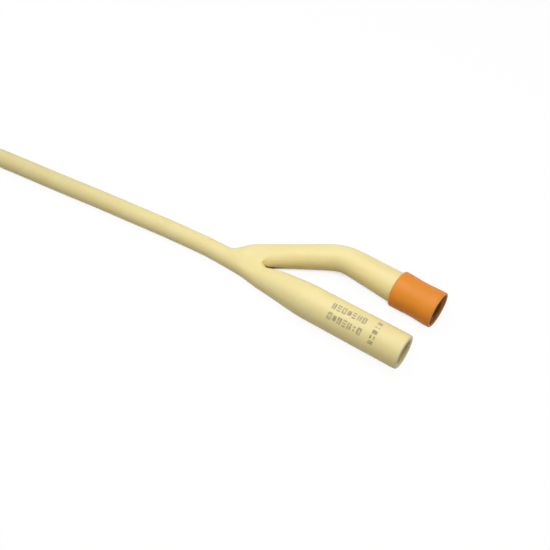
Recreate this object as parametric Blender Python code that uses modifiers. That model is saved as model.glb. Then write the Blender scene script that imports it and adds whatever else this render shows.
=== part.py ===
"""Two-way urinary balloon catheter, lying on a flat surface.

A moulded Y funnel carries the drainage mouth and the inflation arm. A soft valve, a
sleeve over a rubber plug, closes the arm. The shaft runs from the funnel's neck to the
balloon and the tip, folded back once so that it takes little room.
Metres, +Z up, +X along the drainage funnel towards its mouth. The origin is on the
surface, under the middle of the funnel and the valve.
"""
import math

import bmesh
import bpy
import numpy as np
from mathutils import Matrix, Vector

# Whole catheter
CATHETER_LENGTH = 0.400
SHAFT_DIAMETER = 0.00533
SEAT_GAP = 0.0003

# Drainage funnel: stations run from the neck face towards the mouth
FUNNEL_LENGTH = 0.06266
BRANCH_STATION = 0.0059
NOTCH_STATION = 0.0071
HUMP_STATION = 0.0097
CONE_STATION = 0.0123
PARTING_STATION = 0.0134
CROTCH_STATION = 0.0171
WAIST_STATION = 0.02225
SHOULDER_STATION = 0.0323
VALLEY_DEPTH = 0.0013
WEB_SHARPNESS = 0.8
BRANCH_DIAMETER = 0.0055
CONE_DIAMETER = 0.0059
WAIST_DIAMETER = 0.00765
SHOULDER_DIAMETER = 0.00955
MOUTH_DIAMETER = 0.00971
FUNNEL_WALL = 0.00146
RIM_FILLET = 0.00045
NECK_SET_IN = 0.00053
WAIST_SET_IN = 0.00032
DRAINAGE_LUMEN_DIAMETER = 0.0028
DRAINAGE_LUMEN_OFFSET = 0.0005

# Inflation arm: leaves the funnel at an angle, then bends back beside it
ARM_ANGLE = math.radians(30.2)
ARM_TOE_IN = math.radians(4.5)
ARM_BEND_RADIUS = 0.010
ARM_BRANCH_DIAMETER = 0.0057
ARM_ROOT_DIAMETER = 0.00675
ARM_ROOT_REACH = 0.0080
ARM_KNEE_DIAMETER = 0.0075
ARM_END_DIAMETER = 0.00880
ARM_WALL = 0.0011
ARM_SPACING = 0.01658
ARM_BORE_END_DIAMETER = 0.0018
SPIGOT_LENGTH = 0.0056
INFLATION_LUMEN_DIAMETER = 0.0009
INFLATION_LUMEN_OFFSET = 0.0017

# Valve: a coloured sleeve over the arm's spigot, and the plug inside it
SLEEVE_DIAMETER = 0.01034
SLEEVE_LENGTH = 0.0127
SLEEVE_WALL = 0.00078
SLEEVE_FILLET = 0.0003
SLEEVE_REAR_FILLET = 0.0005
SLEEVE_WAIST_DEPTH = 0.00012
SLEEVE_TOE_IN = math.radians(2.0)
VALVE_OVERHANG = 0.0013
PLUG_FLANGE = 0.00645
PLUG_STEM_LENGTH = 0.0062
PLUG_FILLET = 0.0003
PLUG_NOSE_FILLET = 0.0006
SYRINGE_RECESS_DIAMETER = 0.0043
SYRINGE_RECESS_DEPTH = 0.0045
SYRINGE_TAPER = 0.06

# Balloon: a thin cuff, lying flat on the shaft while it is empty
BALLOON_LENGTH = 0.032
BALLOON_WALL = 0.00040
BALLOON_TO_TIP = 0.0030
CUFF_END = 0.0025

# Tip: a round-nosed cap with an eye on each side
TIP_LENGTH = 0.022
NOSE_LENGTH = 0.0045
EYE_LENGTH = 0.0046
EYE_WIDTH = 0.0024
NEAR_EYE_STATION = 0.0085
EYE_STAGGER = 0.0055

# Route of the shaft, in millimetres from the centre of the neck face, as it lies. The balloon
# lifts the shaft a little, over the rise before it
SHAFT_ROUTE_MM = [
    (0.0, 0.0), (-12.4, -0.8), (-25.7, -2.0), (-38.3, -3.2), (-51.2, -4.6), (-64.5, -5.9),
    (-77.8, -7.3), (-92.7, -8.6), (-108.5, -9.9), (-125.5, -11.1), (-142.5, -12.1),
    (-159.5, -12.7), (-176.5, -12.6), (-192.0, -11.0), (-205.5, -5.0), (-213.7, 6.0),
    (-213.5, 18.5), (-205.0, 28.3), (-192.0, 32.4), (-177.5, 32.9), (-162.5, 32.9),
    (-147.5, 32.9), (-132.5, 32.9), (-117.5, 32.9),
]
RISE_LENGTH = 0.030

# Facets, and how far a ring that holds an edge stands off it in the funnel's cage
EDGE_HOLD = 0.0004
SHOULDER_EASE = 0.0037
CAGE_SIDES = 12
TURNED_STEPS = 32
TUBE_RESOLUTION = 4
POINT_SPACING = 2.0 * SHAFT_DIAMETER
SPLINE_STEP = 0.0002
MERGE_DISTANCE = 0.000001
MM = 0.001

# Places that follow from the sizes
SLEEVE_BORE_DIAMETER = SLEEVE_DIAMETER - 2.0 * SLEEVE_WALL
SPIGOT_DIAMETER = SLEEVE_BORE_DIAMETER - 2.0 * SEAT_GAP
ARM_BORE_DIAMETER = SPIGOT_DIAMETER - 2.0 * ARM_WALL
NECK_X = -(FUNNEL_LENGTH + VALVE_OVERHANG) / 2.0
INNER_EDGE_Y = (1.5 * MOUTH_DIAMETER - ARM_SPACING - SLEEVE_DIAMETER / 2.0) / 2.0
NECK = Vector((NECK_X, INNER_EDGE_Y - NECK_SET_IN - SHAFT_DIAMETER / 2.0, SHAFT_DIAMETER / 2.0))
MOUTH_X = NECK_X + FUNNEL_LENGTH
MOUTH_AXIS_Y = INNER_EDGE_Y - MOUTH_DIAMETER / 2.0
VALVE_MOUTH_X = MOUTH_X + VALVE_OVERHANG
SLEEVE_DIRECTION = Vector((math.cos(SLEEVE_TOE_IN), -math.sin(SLEEVE_TOE_IN), 0.0))
SLEEVE_REAR = Vector((
    VALVE_MOUTH_X - SLEEVE_LENGTH * math.cos(SLEEVE_TOE_IN),
    MOUTH_AXIS_Y + ARM_SPACING,
    SLEEVE_DIAMETER / 2.0,
))
SHAFT_LENGTH = CATHETER_LENGTH - FUNNEL_LENGTH - TIP_LENGTH - 2.0 * SEAT_GAP
BALLOON_BORE_DIAMETER = SHAFT_DIAMETER + 2.0 * SEAT_GAP
BALLOON_DIAMETER = BALLOON_BORE_DIAMETER + 2.0 * BALLOON_WALL

# Colour, roughness and metallic value of each piece
MATERIALS = {
    "latex": ((0.84, 0.72, 0.38), 0.42, 0.0),
    "balloon_latex": ((0.86, 0.70, 0.40), 0.36, 0.0),
    "valve_rubber": ((0.83, 0.29, 0.05), 0.5, 0.0),
    "plug_rubber": ((0.30, 0.13, 0.05), 0.55, 0.0),
}


def clear_scene():
    """Remove every object that the file opens with."""
    for obj in list(bpy.data.objects):
        bpy.data.objects.remove(obj, do_unlink=True)


def new_collection(name):
    """A collection linked to the scene."""
    collection = bpy.data.collections.new(name)
    bpy.context.scene.collection.children.link(collection)
    return collection


def material(slot):
    """The material of a slot, made once."""
    if slot in bpy.data.materials:
        return bpy.data.materials[slot]
    colour, roughness, metallic = MATERIALS[slot]
    made = bpy.data.materials.new(slot)
    made.use_nodes = True
    shader = made.node_tree.nodes["Principled BSDF"]
    shader.inputs["Base Color"].default_value = (*colour, 1.0)
    shader.inputs["Roughness"].default_value = roughness
    shader.inputs["Metallic"].default_value = metallic
    return made


def add_object(name, data, collection, slot=None):
    """An object with its data, its collection and its material."""
    obj = bpy.data.objects.new(name, data)
    collection.objects.link(obj)
    if slot:
        data.materials.append(material(slot))
    return obj


def add_cutter(name, data, collection):
    """A cutter, kept out of renders and drawn as wire."""
    cutter = add_object(name, data, collection)
    cutter.hide_render = True
    cutter.display_type = "WIRE"
    return cutter


def along(direction):
    """Rotation that turns +Z to a direction."""
    return Vector(direction).to_track_quat("Z", "Y")


def cut(obj, cutter):
    """Take a cutter's shape out of an object."""
    modifier = obj.modifiers.new("cut_" + cutter.name, "BOOLEAN")
    modifier.operation = "DIFFERENCE"
    modifier.solver = "EXACT"
    modifier.object = cutter


# Outer sizes of the two limbs

def funnel_radius(station):
    """Outer radius of the drainage limb at a station from the neck face."""
    sizes = (
        (0.0, SHAFT_DIAMETER),
        (BRANCH_STATION, BRANCH_DIAMETER),
        (CONE_STATION, CONE_DIAMETER),
        (WAIST_STATION, WAIST_DIAMETER),
        (SHOULDER_STATION, SHOULDER_DIAMETER),
        (FUNNEL_LENGTH, MOUTH_DIAMETER),
    )
    return float(np.interp(station, *zip(*sizes))) / 2.0


def inner_edge(station):
    """Place across of the drainage limb's straighter side, which is set in a little at the neck."""
    sizes = ((0.0, NECK_SET_IN), (WAIST_STATION, WAIST_SET_IN), (SHOULDER_STATION, 0.0))
    return INNER_EDGE_Y - float(np.interp(station, *zip(*sizes)))


def funnel_centre(station):
    """Centre of the drainage limb at a station, with the limb lying on the surface."""
    radius = funnel_radius(station)
    return Vector((NECK_X + station, inner_edge(station) - radius, radius))


def arm_corners():
    """Corners of the arm's middle line: branch, knee, sleeve and the spigot's end."""
    branch = funnel_centre(BRANCH_STATION)
    branch.z = ARM_ROOT_DIAMETER / 2.0
    leaving = Vector((math.cos(ARM_ANGLE), math.sin(ARM_ANGLE)))
    arriving = Vector((math.cos(ARM_TOE_IN), -math.sin(ARM_TOE_IN)))
    across = SLEEVE_REAR.xy - branch.xy
    turn = leaving.cross(arriving)
    knee = branch.xy + leaving * (across.cross(arriving) / turn)
    spigot_end = SLEEVE_REAR + SLEEVE_DIRECTION * SPIGOT_LENGTH
    lift = SLEEVE_REAR.z - branch.z
    reach = (SLEEVE_REAR.xy - branch.xy).length
    knee_z = branch.z + lift * (knee - branch.xy).length / reach
    return [branch, Vector((*knee, knee_z)), SLEEVE_REAR, spigot_end]


class ArmLine:
    """Middle line of the inflation arm: straight runs with an arc at the knee."""

    def __init__(self):
        self.branch, self.knee, self.sleeve, self.end = arm_corners()
        self.first = (self.knee - self.branch).normalized()
        self.second = (self.sleeve - self.knee).normalized()
        self.turn = self.first.angle(self.second)
        self.trim = ARM_BEND_RADIUS * math.tan(self.turn / 2.0)
        self.arc = ARM_BEND_RADIUS * self.turn
        self.to_arc = (self.knee - self.branch).length - self.trim
        self.past_arc = self.to_arc + self.arc
        self.to_sleeve = self.past_arc + (self.sleeve - self.knee).length - self.trim
        self.to_end = self.to_sleeve + SPIGOT_LENGTH

    def at(self, distance):
        """Point and direction at a distance along the line from the branch."""
        if distance <= self.to_arc:
            return self.branch + self.first * distance, self.first
        if distance < self.past_arc:
            swept = (distance - self.to_arc) / ARM_BEND_RADIUS
            start = self.knee - self.first * self.trim
            inward = (self.second - self.first * self.first.dot(self.second)).normalized()
            point = start + self.first * (ARM_BEND_RADIUS * math.sin(swept))
            point += inward * (ARM_BEND_RADIUS * (1.0 - math.cos(swept)))
            return point, self.first * math.cos(swept) + inward * math.sin(swept)
        if distance < self.to_sleeve:
            return self.sleeve - self.second * (self.to_sleeve - distance), self.second
        return self.sleeve + SLEEVE_DIRECTION * (distance - self.to_sleeve), SLEEVE_DIRECTION

    def radius(self, distance):
        """Outer radius of the arm at a distance from the branch."""
        middle = (self.to_arc + self.past_arc) / 2.0
        sizes = (
            (0.0, ARM_BRANCH_DIAMETER),
            (ARM_ROOT_REACH, ARM_ROOT_DIAMETER),
            (0.5 * middle, ARM_ROOT_DIAMETER),
            (middle, ARM_KNEE_DIAMETER),
            (self.to_sleeve, ARM_END_DIAMETER),
        )
        return float(np.interp(distance, *zip(*sizes))) / 2.0


# The Y funnel: a cage of rings, smoothed by subdivision

CAGE_STEP = 2.0 * math.pi / CAGE_SIDES
CAGE_SPREAD = 1.0 / (2.0 / 3.0 + math.cos(CAGE_STEP) / 3.0)
TOP = CAGE_SIDES // 4
FAR_SIDE = CAGE_SIDES // 2
BOTTOM = 3 * CAGE_SIDES // 4


def add_ring(mesh, centre, direction, radius):
    """A ring of cage points about a centre, the first one on the left of the direction."""
    side = Vector((-direction.y, direction.x, 0.0)).normalized() * (radius * CAGE_SPREAD)
    rise = direction.cross(side)
    return [
        mesh.verts.new(centre + side * math.cos(k * CAGE_STEP) + rise * math.sin(k * CAGE_STEP))
        for k in range(CAGE_SIDES)
    ]


def join_rings(mesh, first, second):
    """A band of faces between two rings."""
    for k in range(CAGE_SIDES):
        after = (k + 1) % CAGE_SIDES
        mesh.faces.new((first[k], first[after], second[after], second[k]))


def join_chain(mesh, rings):
    """Bands between each ring and the next."""
    for first, second in zip(rings, rings[1:]):
        join_rings(mesh, first, second)


def sharpen(mesh, points, sharpness=1.0):
    """Keep the edges between consecutive points sharp under subdivision."""
    crease = mesh.edges.layers.float.get("crease_edge") or mesh.edges.layers.float.new("crease_edge")
    for first, second in zip(points, points[1:]):
        mesh.edges.get((first, second))[crease] = sharpness


def rim_rings(mesh, centre, direction, outer, inner):
    """Rings over a rounded rim with a flat face, from the outer wall to the bore."""
    behind = centre - direction * (2.0 * RIM_FILLET)
    flat = np.linspace(outer - RIM_FILLET, inner + RIM_FILLET, 3)
    face = [outer - RIM_FILLET / 2.0, *flat, inner + RIM_FILLET / 2.0]
    rings = [add_ring(mesh, behind, direction, outer)]
    rings += [add_ring(mesh, centre, direction, radius) for radius in face]
    return rings + [add_ring(mesh, behind, direction, inner)]


def drainage_rings(mesh):
    """Rings of the drainage limb past the crotch: out to the mouth and back down the bore."""
    forward = Vector((1.0, 0.0, 0.0))
    cone_middle = (WAIST_STATION + SHOULDER_STATION) / 2.0
    shoulder_end = SHOULDER_STATION + SHOULDER_EASE
    barrel_middle = (shoulder_end + FUNNEL_LENGTH) / 2.0
    stations = [WAIST_STATION, cone_middle, SHOULDER_STATION, shoulder_end, barrel_middle]
    outside = [CROTCH_STATION + EDGE_HOLD] + stations
    rings = [add_ring(mesh, funnel_centre(s), forward, funnel_radius(s)) for s in outside]
    mouth = funnel_centre(FUNNEL_LENGTH)
    rings += rim_rings(mesh, mouth, forward, mouth.z, mouth.z - FUNNEL_WALL)
    lumen = DRAINAGE_LUMEN_DIAMETER / 2.0
    for s in stations[::-1] + [CROTCH_STATION]:
        rings.append(add_ring(mesh, funnel_centre(s), forward, max(funnel_radius(s) - FUNNEL_WALL, lumen)))
    for s in (CONE_STATION, BRANCH_STATION, BRANCH_STATION / 2.0, 0.0):
        aside = DRAINAGE_LUMEN_OFFSET * (1.0 - s / CROTCH_STATION)
        rings.append(add_ring(mesh, funnel_centre(s) - Vector((0.0, aside, 0.0)), forward, lumen))
    return rings


def arm_rings(mesh, line):
    """Rings of the inflation arm past the crotch: out to the spigot and back down its bore."""
    after_crotch = (CROTCH_STATION - BRANCH_STATION) / math.cos(ARM_ANGLE) + EDGE_HOLD
    step = line.to_sleeve - SEAT_GAP
    distances = list(np.linspace(after_crotch, line.to_arc, 4))
    distances += list(np.linspace(line.to_arc, line.past_arc, 4)[1:3])
    distances += list(np.linspace(line.past_arc, step, 4)[:3])
    rings = [add_ring(mesh, *line.at(d), line.radius(d)) for d in distances]
    arm_end, spigot = ARM_END_DIAMETER / 2.0, SPIGOT_DIAMETER / 2.0
    for side, radius in ((-1.0, arm_end), (0.0, arm_end), (0.0, spigot), (1.0, spigot)):
        centre = line.at(step + side * EDGE_HOLD)[0]
        rings.append(add_ring(mesh, centre, SLEEVE_DIRECTION, radius))
    end = line.at(line.to_end)[0]
    rings += rim_rings(mesh, end, SLEEVE_DIRECTION, spigot, ARM_BORE_DIAMETER / 2.0)
    bore_end = distances[2]
    for d in distances[:1:-1]:
        share = (d - bore_end) / (distances[-1] - bore_end)
        bore = ARM_BORE_END_DIAMETER + (ARM_BORE_DIAMETER - ARM_BORE_END_DIAMETER) * share
        rings.append(add_ring(mesh, *line.at(d), bore / 2.0))
    return rings


def trunk_rings(mesh, line):
    """Rings from the neck to where the limbs part, the last ones widened to take in the arm."""
    forward = Vector((1.0, 0.0, 0.0))
    neck = np.linspace(0.0, NOTCH_STATION, 4)
    rings = [add_ring(mesh, funnel_centre(s), forward, funnel_radius(s)) for s in neck]
    return rings + [parting_ring(mesh, s, line) for s in np.linspace(HUMP_STATION, PARTING_STATION, 3)]


def parting_ring(mesh, station, line):
    """A ring around both limbs, with a valley that deepens between them towards the crotch."""
    valley = VALLEY_DEPTH * (station - HUMP_STATION) / (PARTING_STATION - HUMP_STATION)
    low, low_radius = funnel_centre(station), funnel_radius(station)
    reach = (station - BRANCH_STATION) / math.cos(ARM_ANGLE)
    arm, arm_radius = line.at(reach)[0], line.radius(reach)
    arm_width = arm_radius / math.cos(ARM_ANGLE)
    ring = []
    for k in range(CAGE_SIDES):
        across = CAGE_SPREAD * math.cos(k * CAGE_STEP)
        rise = CAGE_SPREAD * math.sin(k * CAGE_STEP)
        on_arm = Vector((low.x, arm.y + arm_width * across, arm.z + arm_radius * rise))
        on_low = Vector((low.x, low.y + low_radius * across, low.z + low_radius * rise))
        share = 0.5 if k in (TOP, BOTTOM) else float(across > 0.0)
        ring.append(mesh.verts.new(on_low.lerp(on_arm, share)))
    ring[TOP].co.z -= valley
    ring[BOTTOM].co.z += valley
    return ring


def crotch_points(mesh, last_trunk_ring, line):
    """Cage points of the web between the limbs, from the top of the trunk to its underside."""
    top, bottom = last_trunk_ring[TOP].co, last_trunk_ring[BOTTOM].co
    middle_z = (top.z + bottom.z) / 2.0
    height = (top.z - bottom.z) / 2.0
    reach = (CROTCH_STATION - BRANCH_STATION) / math.cos(ARM_ANGLE)
    upper = line.at(reach)[0].y - line.radius(reach) / math.cos(ARM_ANGLE)
    crotch_y = (inner_edge(CROTCH_STATION) + upper) / 2.0
    crotch_x = NECK_X + CROTCH_STATION
    points = []
    for j in range(1, FAR_SIDE):
        angle = math.pi / 2.0 - j * CAGE_STEP
        depth = math.cos(angle)
        x = top.x + (crotch_x - top.x) * depth
        y = top.y + (crotch_y - top.y) * depth
        points.append(mesh.verts.new((x, y, middle_z + height * math.sin(angle))))
    return points


def build_funnel_body(parts, cutters):
    """The Y moulding: neck, drainage funnel and inflation arm with their bores."""
    mesh = bmesh.new()
    line = ArmLine()
    trunk = trunk_rings(mesh, line)
    join_chain(mesh, trunk)
    neck_ring, parting = trunk[0], trunk[-1]
    web = crotch_points(mesh, parting, line)
    drainage_base = list(parting)
    arm_base = list(parting)
    for j, point in enumerate(web, start=1):
        drainage_base[(TOP - j) % CAGE_SIDES] = point
        arm_base[(TOP + j) % CAGE_SIDES] = point
    drainage = drainage_rings(mesh)
    join_chain(mesh, [drainage_base] + drainage)
    join_rings(mesh, drainage[-1], neck_ring)
    arm = arm_rings(mesh, line)
    join_chain(mesh, [arm_base] + arm)
    mesh.faces.new(arm[-1])
    sharpen(mesh, neck_ring + neck_ring[:1])
    sharpen(mesh, drainage[-1] + drainage[-1][:1])
    sharpen(mesh, web, WEB_SHARPNESS)
    bmesh.ops.recalc_face_normals(mesh, faces=mesh.faces)
    data = bpy.data.meshes.new("funnel_body")
    mesh.to_mesh(data)
    mesh.free()
    data.shade_smooth()
    body = add_object("funnel_body", data, parts, "latex")
    smooth = body.modifiers.new("smooth", "SUBSURF")
    smooth.levels = 1
    smooth.render_levels = 1
    cut(body, inflation_lumen(cutters, line))
    return body


def inflation_lumen(cutters, line):
    """Cutter for the fine channel from the arm's bore to the neck face."""
    in_bore = line.at(line.to_arc)[0]
    in_root = line.at(PARTING_STATION - BRANCH_STATION)[0]
    beside = NECK + Vector((BRANCH_STATION, INFLATION_LUMEN_OFFSET, 0.0))
    outside = NECK + Vector((-SEAT_GAP, INFLATION_LUMEN_OFFSET, 0.0))
    route = smooth_points([in_bore, in_root, beside, outside], 1.5 * INFLATION_LUMEN_DIAMETER)
    return tube_mesh("inflation_lumen", route, INFLATION_LUMEN_DIAMETER / 2.0, cutters)


# Turned pieces

def build_turned(name, profile, collection, slot, place, direction):
    """A profile of (radius, height) pairs turned about an axis along a direction."""
    data = bpy.data.meshes.new(name)
    points = [(radius, 0.0, height) for radius, height in profile]
    closed = profile[0][0] > 0.0
    count = len(points)
    edges = [(k, (k + 1) % count) for k in range(count if closed else count - 1)]
    data.from_pydata(points, edges, [])
    obj = add_object(name, data, collection, slot)
    screw = obj.modifiers.new("turn", "SCREW")
    screw.axis = "Z"
    screw.angle = 2.0 * math.pi
    screw.steps = TURNED_STEPS
    screw.render_steps = TURNED_STEPS
    screw.use_merge_vertices = True
    screw.merge_threshold = MERGE_DISTANCE
    screw.use_smooth_shade = True
    obj.location = place
    obj.rotation_mode = "QUATERNION"
    obj.rotation_quaternion = along(direction)
    return obj


def corner(centre_radius, centre_height, rounding, start, stop, steps=3):
    """Points of a rounded corner in a profile, from one angle in degrees to another."""
    return [
        (
            centre_radius + rounding * math.cos(math.radians(angle)),
            centre_height + rounding * math.sin(math.radians(angle)),
        )
        for angle in np.linspace(start, stop, steps + 1)
    ]


def build_valve_sleeve(parts):
    """The coloured sleeve: a short soft tube with a slight waist and rounded lips."""
    outer = SLEEVE_DIAMETER / 2.0
    inner = SLEEVE_BORE_DIAMETER / 2.0
    lip, rear_lip = SLEEVE_FILLET, SLEEVE_REAR_FILLET
    front, rear = SLEEVE_LENGTH - lip, rear_lip
    profile = corner(inner + lip, front, lip, 180.0, 90.0)
    profile += corner(outer - lip, front, lip, 90.0, 0.0)
    for share in np.linspace(0.0, 1.0, 9)[1:-1]:
        waist = SLEEVE_WAIST_DEPTH * math.sin(math.pi * share) ** 2
        profile.append((outer - waist, front + (rear - front) * share))
    profile += corner(outer - rear_lip, rear, rear_lip, 0.0, -90.0)
    profile.append((inner, 0.0))
    return build_turned("valve_sleeve", profile, parts, "valve_rubber", SLEEVE_REAR, SLEEVE_DIRECTION)


def build_valve_plug(parts):
    """The rubber plug: a flange against the spigot, a stem in its bore, a recess for a syringe."""
    flange = SLEEVE_BORE_DIAMETER / 2.0 - SEAT_GAP
    stem = ARM_BORE_DIAMETER / 2.0 - SEAT_GAP
    recess = SYRINGE_RECESS_DIAMETER / 2.0
    recess_floor = recess - SYRINGE_RECESS_DEPTH * SYRINGE_TAPER / 2.0
    lip, nose = PLUG_FILLET, PLUG_NOSE_FILLET
    front = PLUG_STEM_LENGTH + PLUG_FLANGE
    profile = [(0.0, front - SYRINGE_RECESS_DEPTH), (recess_floor, front - SYRINGE_RECESS_DEPTH)]
    profile += corner(recess + lip, front - lip, lip, 180.0, 90.0)
    profile += corner(flange - lip, front - lip, lip, 90.0, 0.0)
    profile += corner(flange - lip, PLUG_STEM_LENGTH + lip, lip, 0.0, -90.0)
    profile.append((stem, PLUG_STEM_LENGTH))
    profile += corner(stem - nose, nose, nose, 0.0, -90.0)
    profile.append((0.0, 0.0))
    face = SPIGOT_LENGTH + SEAT_GAP
    place = SLEEVE_REAR + SLEEVE_DIRECTION * (face - PLUG_STEM_LENGTH)
    return build_turned("valve_plug", profile, parts, "plug_rubber", place, SLEEVE_DIRECTION)


# Shaft, balloon and tip

def smooth_points(corners, spacing):
    """Points about a spacing apart on the natural cubic spline through the corners."""
    knots = np.array([tuple(point) for point in corners], dtype=float)
    chords = np.linalg.norm(np.diff(knots, axis=0), axis=1)
    at = np.concatenate(([0.0], np.cumsum(chords)))
    count = len(knots)
    rows = np.eye(count)
    bends = np.zeros_like(knots)
    slopes = np.diff(knots, axis=0) / chords[:, None]
    for k in range(1, count - 1):
        rows[k, k - 1:k + 2] = chords[k - 1], 2.0 * (chords[k - 1] + chords[k]), chords[k]
        bends[k] = 6.0 * (slopes[k] - slopes[k - 1])
    bends = np.linalg.solve(rows, bends)
    where = np.linspace(0.0, at[-1], max(2, round(at[-1] / spacing) + 1))
    span = np.clip(np.searchsorted(at, where, side="right") - 1, 0, count - 2)
    chord = chords[span][:, None]
    after = (where - at[span])[:, None] / chord
    before = 1.0 - after
    curve = before * knots[span] + after * knots[span + 1]
    curve += ((before**3 - before) * bends[span] + (after**3 - after) * bends[span + 1]) * chord**2 / 6.0
    return [Vector(point) for point in curve]


def shaft_line():
    """The shaft's whole middle line: its route in plan, raised a little where the balloon lifts it."""
    corners = [Vector((NECK.x + x * MM, NECK.y + y * MM, NECK.z)) for x, y in SHAFT_ROUTE_MM]
    corners[0].x -= SEAT_GAP
    line = smooth_points(corners, SPLINE_STEP)
    lift = (BALLOON_DIAMETER - SHAFT_DIAMETER) / 2.0
    balloon_start = SHAFT_LENGTH - BALLOON_TO_TIP - BALLOON_LENGTH
    passed = 0.0
    for before, point in zip(line, line[1:]):
        passed += (point.xy - before.xy).length
        share = min(1.0, max(0.0, 1.0 + (passed - balloon_start) / RISE_LENGTH))
        point.z += lift * share * share * (3.0 - 2.0 * share)
    return line


def point_along(line, distance):
    """Point at a distance along a finely divided line, which runs on straight past its end."""
    passed = 0.0
    for first, second in zip(line, line[1:]):
        step = (second - first).length
        if passed + step >= distance:
            return first.lerp(second, (distance - passed) / step)
        passed += step
    return line[-1] + (line[-1] - line[-2]).normalized() * (distance - passed)


def tube_curve(name, points, radius, collection, slot=None):
    """A round tube along points, with closed ends."""
    data = bpy.data.curves.new(name, "CURVE")
    data.dimensions = "3D"
    data.bevel_depth = radius
    data.bevel_resolution = TUBE_RESOLUTION
    data.use_fill_caps = True
    spline = data.splines.new("POLY")
    spline.points.add(len(points) - 1)
    for target, point in zip(spline.points, points):
        target.co = (*point, 1.0)
    return add_object(name, data, collection, slot)


def tube_mesh(name, points, radius, cutters):
    """A tube along points as a closed mesh, for use as a cutter."""
    curve = tube_curve(name + "_curve", points, radius, cutters)
    bpy.context.view_layer.update()
    evaluated = curve.evaluated_get(bpy.context.evaluated_depsgraph_get())
    data = bpy.data.meshes.new_from_object(evaluated)
    data.name = name
    welded = bmesh.new()
    welded.from_mesh(data)
    bmesh.ops.remove_doubles(welded, verts=welded.verts, dist=MERGE_DISTANCE)
    bmesh.ops.recalc_face_normals(welded, faces=welded.faces)
    welded.to_mesh(data)
    welded.free()
    cutter = add_cutter(name, data, cutters)
    cutter.matrix_world = curve.matrix_world
    bpy.data.objects.remove(curve, do_unlink=True)
    return cutter


def build_shaft(parts, line):
    """The shaft, a plain tube from the neck face to the tip."""
    count = round(SHAFT_LENGTH / POINT_SPACING)
    points = [point_along(line, SHAFT_LENGTH * k / count) for k in range(count + 1)]
    return tube_curve("shaft_tube", points, SHAFT_DIAMETER / 2.0, parts, "latex")


def build_balloon(parts, line):
    """The empty balloon: a thin cuff around the shaft, drawn in at both ends."""
    rear = SHAFT_LENGTH - BALLOON_TO_TIP - BALLOON_LENGTH
    start = point_along(line, rear)
    direction = point_along(line, rear + BALLOON_LENGTH) - start
    inner = BALLOON_BORE_DIAMETER / 2.0
    outer = BALLOON_DIAMETER / 2.0
    end_wall = inner + BALLOON_WALL / 2.0
    profile = [
        (inner, BALLOON_LENGTH),
        (end_wall, BALLOON_LENGTH),
        (outer, BALLOON_LENGTH - CUFF_END),
        (outer, CUFF_END),
        (end_wall, 0.0),
        (inner, 0.0),
    ]
    return build_turned("balloon", profile, parts, "balloon_latex", start, direction)


def build_tip(parts, cutters, line):
    """The round-nosed tip with its blind lumen and two staggered eyes."""
    start = point_along(line, SHAFT_LENGTH + SEAT_GAP)
    direction = (point_along(line, SHAFT_LENGTH + TIP_LENGTH) - start).normalized()
    radius = SHAFT_DIAMETER / 2.0
    lumen = DRAINAGE_LUMEN_DIAMETER / 2.0
    nose_start = TIP_LENGTH - NOSE_LENGTH
    profile = [
        (radius * math.sin(angle), nose_start + NOSE_LENGTH * math.cos(angle))
        for angle in np.linspace(0.0, math.pi / 2.0, 8)
    ]
    profile += [(radius, 0.0), (lumen, 0.0)]
    profile += [
        (lumen * math.cos(angle), nose_start - lumen + lumen * math.sin(angle))
        for angle in np.linspace(0.0, math.pi / 2.0, 4)
    ]
    tip = build_turned("catheter_tip", profile, parts, "latex", start, direction)
    side = Vector((-direction.y, direction.x, 0.0))
    for name, back, sign in (
        ("near_eye", NEAR_EYE_STATION, 1.0),
        ("far_eye", NEAR_EYE_STATION + EYE_STAGGER, -1.0),
    ):
        cut(tip, eye_cutter(name, start + direction * (TIP_LENGTH - back), side * sign, direction, cutters))
    return tip


def eye_cutter(name, place, outward, direction, cutters):
    """An oval cutter that opens one wall of the tip, its long way along the tip."""
    data = bpy.data.meshes.new(name)
    mesh = bmesh.new()
    bmesh.ops.create_cone(
        mesh,
        cap_ends=True,
        segments=20,
        radius1=EYE_WIDTH / 2.0,
        radius2=EYE_WIDTH / 2.0,
        depth=SHAFT_DIAMETER,
        matrix=Matrix.Translation((0.0, 0.0, SHAFT_DIAMETER / 2.0)),
    )
    bmesh.ops.scale(mesh, vec=(EYE_LENGTH / EYE_WIDTH, 1.0, 1.0), verts=mesh.verts)
    mesh.to_mesh(data)
    mesh.free()
    cutter = add_cutter(name, data, cutters)
    turned = Matrix((direction, outward.cross(direction), outward)).transposed()
    cutter.matrix_world = Matrix.Translation(place) @ turned.to_4x4()
    return cutter


def main():
    """Build the catheter piece by piece."""
    clear_scene()
    parts = new_collection("urinary_balloon_catheter")
    cutters = new_collection("cutters")
    build_funnel_body(parts, cutters)
    build_valve_sleeve(parts)
    build_valve_plug(parts)
    line = shaft_line()
    build_shaft(parts, line)
    build_balloon(parts, line)
    build_tip(parts, cutters, line)
    bpy.context.view_layer.update()


main()
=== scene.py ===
"""A two-way urinary balloon catheter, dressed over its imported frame.

The moulded funnel with its inflation arm and valve, the long shaft, the empty balloon and the
tip are built finer than their solids, each in the place of its node, and finished as dipped
latex and moulded rubber. Metres, in the frame's own axes.
"""

import logging
import math
from collections.abc import Callable, Sequence
from dataclasses import dataclass, field
from enum import Enum

import bmesh
import bpy
import numpy as np
from mathutils import Matrix, Vector


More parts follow.
